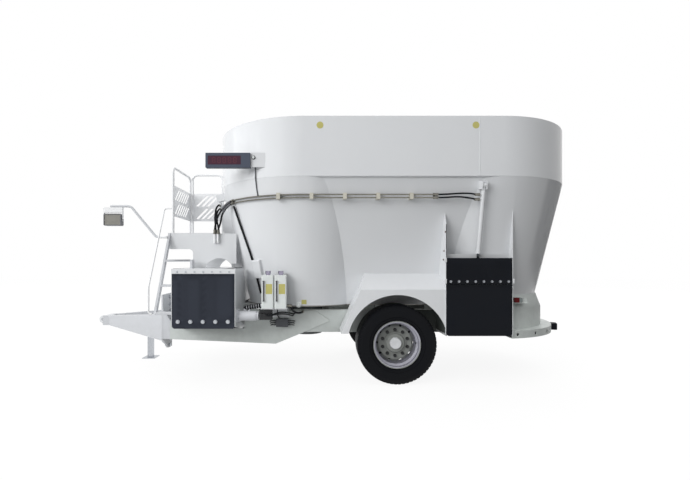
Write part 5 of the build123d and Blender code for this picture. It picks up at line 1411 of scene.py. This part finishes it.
def floor():
    # A white studio floor with a faint shadow. Its bounce on to the wagon is that of a dark yard with a
    # painted pool of light on the left that fades to painted shadow on the right
    drop_all()
    bpy.ops.mesh.primitive_plane_add(size=60, location=(0, 0, -0.002))
    piece = bpy.context.object
    piece.name = "studio_floor"
    material, tree, shader, place = start_material("studio_floor")
    seen = eye_rays(tree)
    # Painted light and shadow for the bounce only: pale on the left, dark towards the right under the wagon's
    # shadow
    along = add(tree, "SeparateXYZ", {}, {0: place}).outputs["X"]
    shade = add(tree, "MapRange", {1: 0.6, 2: 2.2, 3: 0.0, 4: 1.0}, {0: along})
    bounce_light_and_shadow = add(tree, "Mix", two_tones("#BCBDBD", "#151616"), {0: shade})
    tone = add(tree, "Mix", {"data_type": "RGBA", 7: linear("#FFFFFF")}, {0: seen, 6: bounce_light_and_shadow.outputs[2]})
    tree.links.new(tone.outputs[2], shader.inputs["Base Color"])
    shader.inputs["Roughness"].default_value = 0.9
    shader.inputs["Specular IOR Level"].default_value = 0.0
    share = add(tree, "Math", {"operation": "MULTIPLY", 1: 0.9}, {0: seen})
    white = add(tree, "Emission", {"Strength": 1.0}, {})
    both = add(tree, "MixShader", {}, {0: share, 1: shader, 2: white})
    tree.links.new(both.outputs[0], tree.nodes["Material Output"].inputs["Surface"])
    piece.data.materials.append(material)


def sky():
    # White to the eye; its light is that of a sky which is dim along the horizon, more so on the right
    world = bpy.data.worlds.new("studio")
    bpy.context.scene.world = world
    world.use_nodes = True
    tree = world.node_tree
    direction = add(tree, "TexCoord", {}, {}).outputs["Generated"]
    parts = add(tree, "SeparateXYZ", {}, {0: direction})
    left = add(tree, "MapRange", {1: 0.0, 2: 1.0, 3: 0.42, 4: 1.25}, {0: parts.outputs["Z"]})
    right = add(tree, "MapRange", {1: 0.2, 2: 0.9, 3: 0.05, 4: 1.35}, {0: parts.outputs["Z"]})
    side = add(tree, "MapRange", {1: -0.7, 2: 0.35, 3: 0.0, 4: 1.0}, {0: parts.outputs["X"]})
    light = add(tree, "Mix", {}, {0: side, 2: left, 3: right})
    strength = add(tree, "Mix", {3: 1.0}, {0: eye_rays(tree), 2: light})
    back = tree.nodes["Background"]
    back.inputs["Color"].default_value = linear("#FFFFFF")
    tree.links.new(strength.outputs[0], back.inputs["Strength"])


def dark_cards():
    # Upright grey cards behind the wagon on the right, seen only as soft bands in the gloss of the rear cone
    material, tree, shader, place = start_material("grey_card")
    cloth = add(tree, "TexNoise", {"Scale": per_metre(40)}, {"Vector": place})
    tone = add(tree, "Mix", two_tones("#3A3B3D", "#444547"), {0: cloth})
    tree.links.new(tone.outputs[2], shader.inputs["Base Color"])
    for number in range(5):
        card = bar("card_" + str(number), (9.0, -1.0 + 1.5 * number, 0.0), (9.02, 0.1 + 1.5 * number, 3.4))
        round_edges(card, 0.004)
        card.data.materials.clear()
        card.data.materials.append(material)
        card.visible_camera = False
        card.visible_diffuse = False
        card.visible_shadow = False


def soft_light(name, place, target, size, power):
    bpy.ops.object.light_add(type="AREA", location=place)
    lamp = bpy.context.object
    lamp.name = name
    lamp.data.shape = "RECTANGLE"
    lamp.data.size = size[0]
    lamp.data.size_y = size[1]
    lamp.data.energy = power
    lamp.rotation_euler = (Vector(target) - Vector(place)).to_track_quat("-Z", "Y").to_euler()
    return lamp


def lights():
    key = soft_light("key", (-18.0, -16.8, 10.6), (0, -0.5, 1.8), (18, 12), 4100)
    key.visible_glossy = False
    fill = soft_light("fill", (9.0, 17.0, 9.0), (0.5, 0.5, 1.8), (14, 9), 1300)
    fill.visible_glossy = False
    for number in range(5):
        strip = soft_light("strip_" + str(number), (-9.6 + 0.2 * number, 1.5 - 1.6 * number, 5.2),
                           (-1.0, -1.0, 2.9), (0.7, 1.7), 12)
        strip.visible_diffuse = False


def camera():
    lens = bpy.data.cameras.new("photo_camera")
    lens.sensor_width = 36
    lens.lens = 20.87
    lens.shift_x = 0.0362
    lens.shift_y = 0.0319
    viewer = bpy.data.objects.new("photo_camera", lens)
    viewer.location = (-0.064, -6.097, 1.54)
    viewer.rotation_euler = (math.pi / 2, 0, 0)
    bpy.context.collection.objects.link(viewer)
    bpy.context.scene.camera = viewer


def hoses():
    end = hose_end()
    side_hoses(end)
    outer_front_hoses(end)
    inner_front_hoses(end)
    tank_hose(end)
    bpy.data.objects.remove(end)
    platform_elbows()
    conduit()
    display_cable()
    motor_sleeve()
    junction_cables()
    valve_hoses()
    hose_plug()


camera()
hoses()
steel_work()
chassis()
outlet()
mudguards()
decks()
doors()
weld_beads()
cable_cover()
cone_patch()
yellow_markers()
small_bolts()
seal_tabs()
display()
lamps()
tanks()
boxes()
rubber_pieces()
wheels()
floor()
sky()
dark_cards()
lights()
bpy.context.scene.view_settings.view_transform = "Standard"
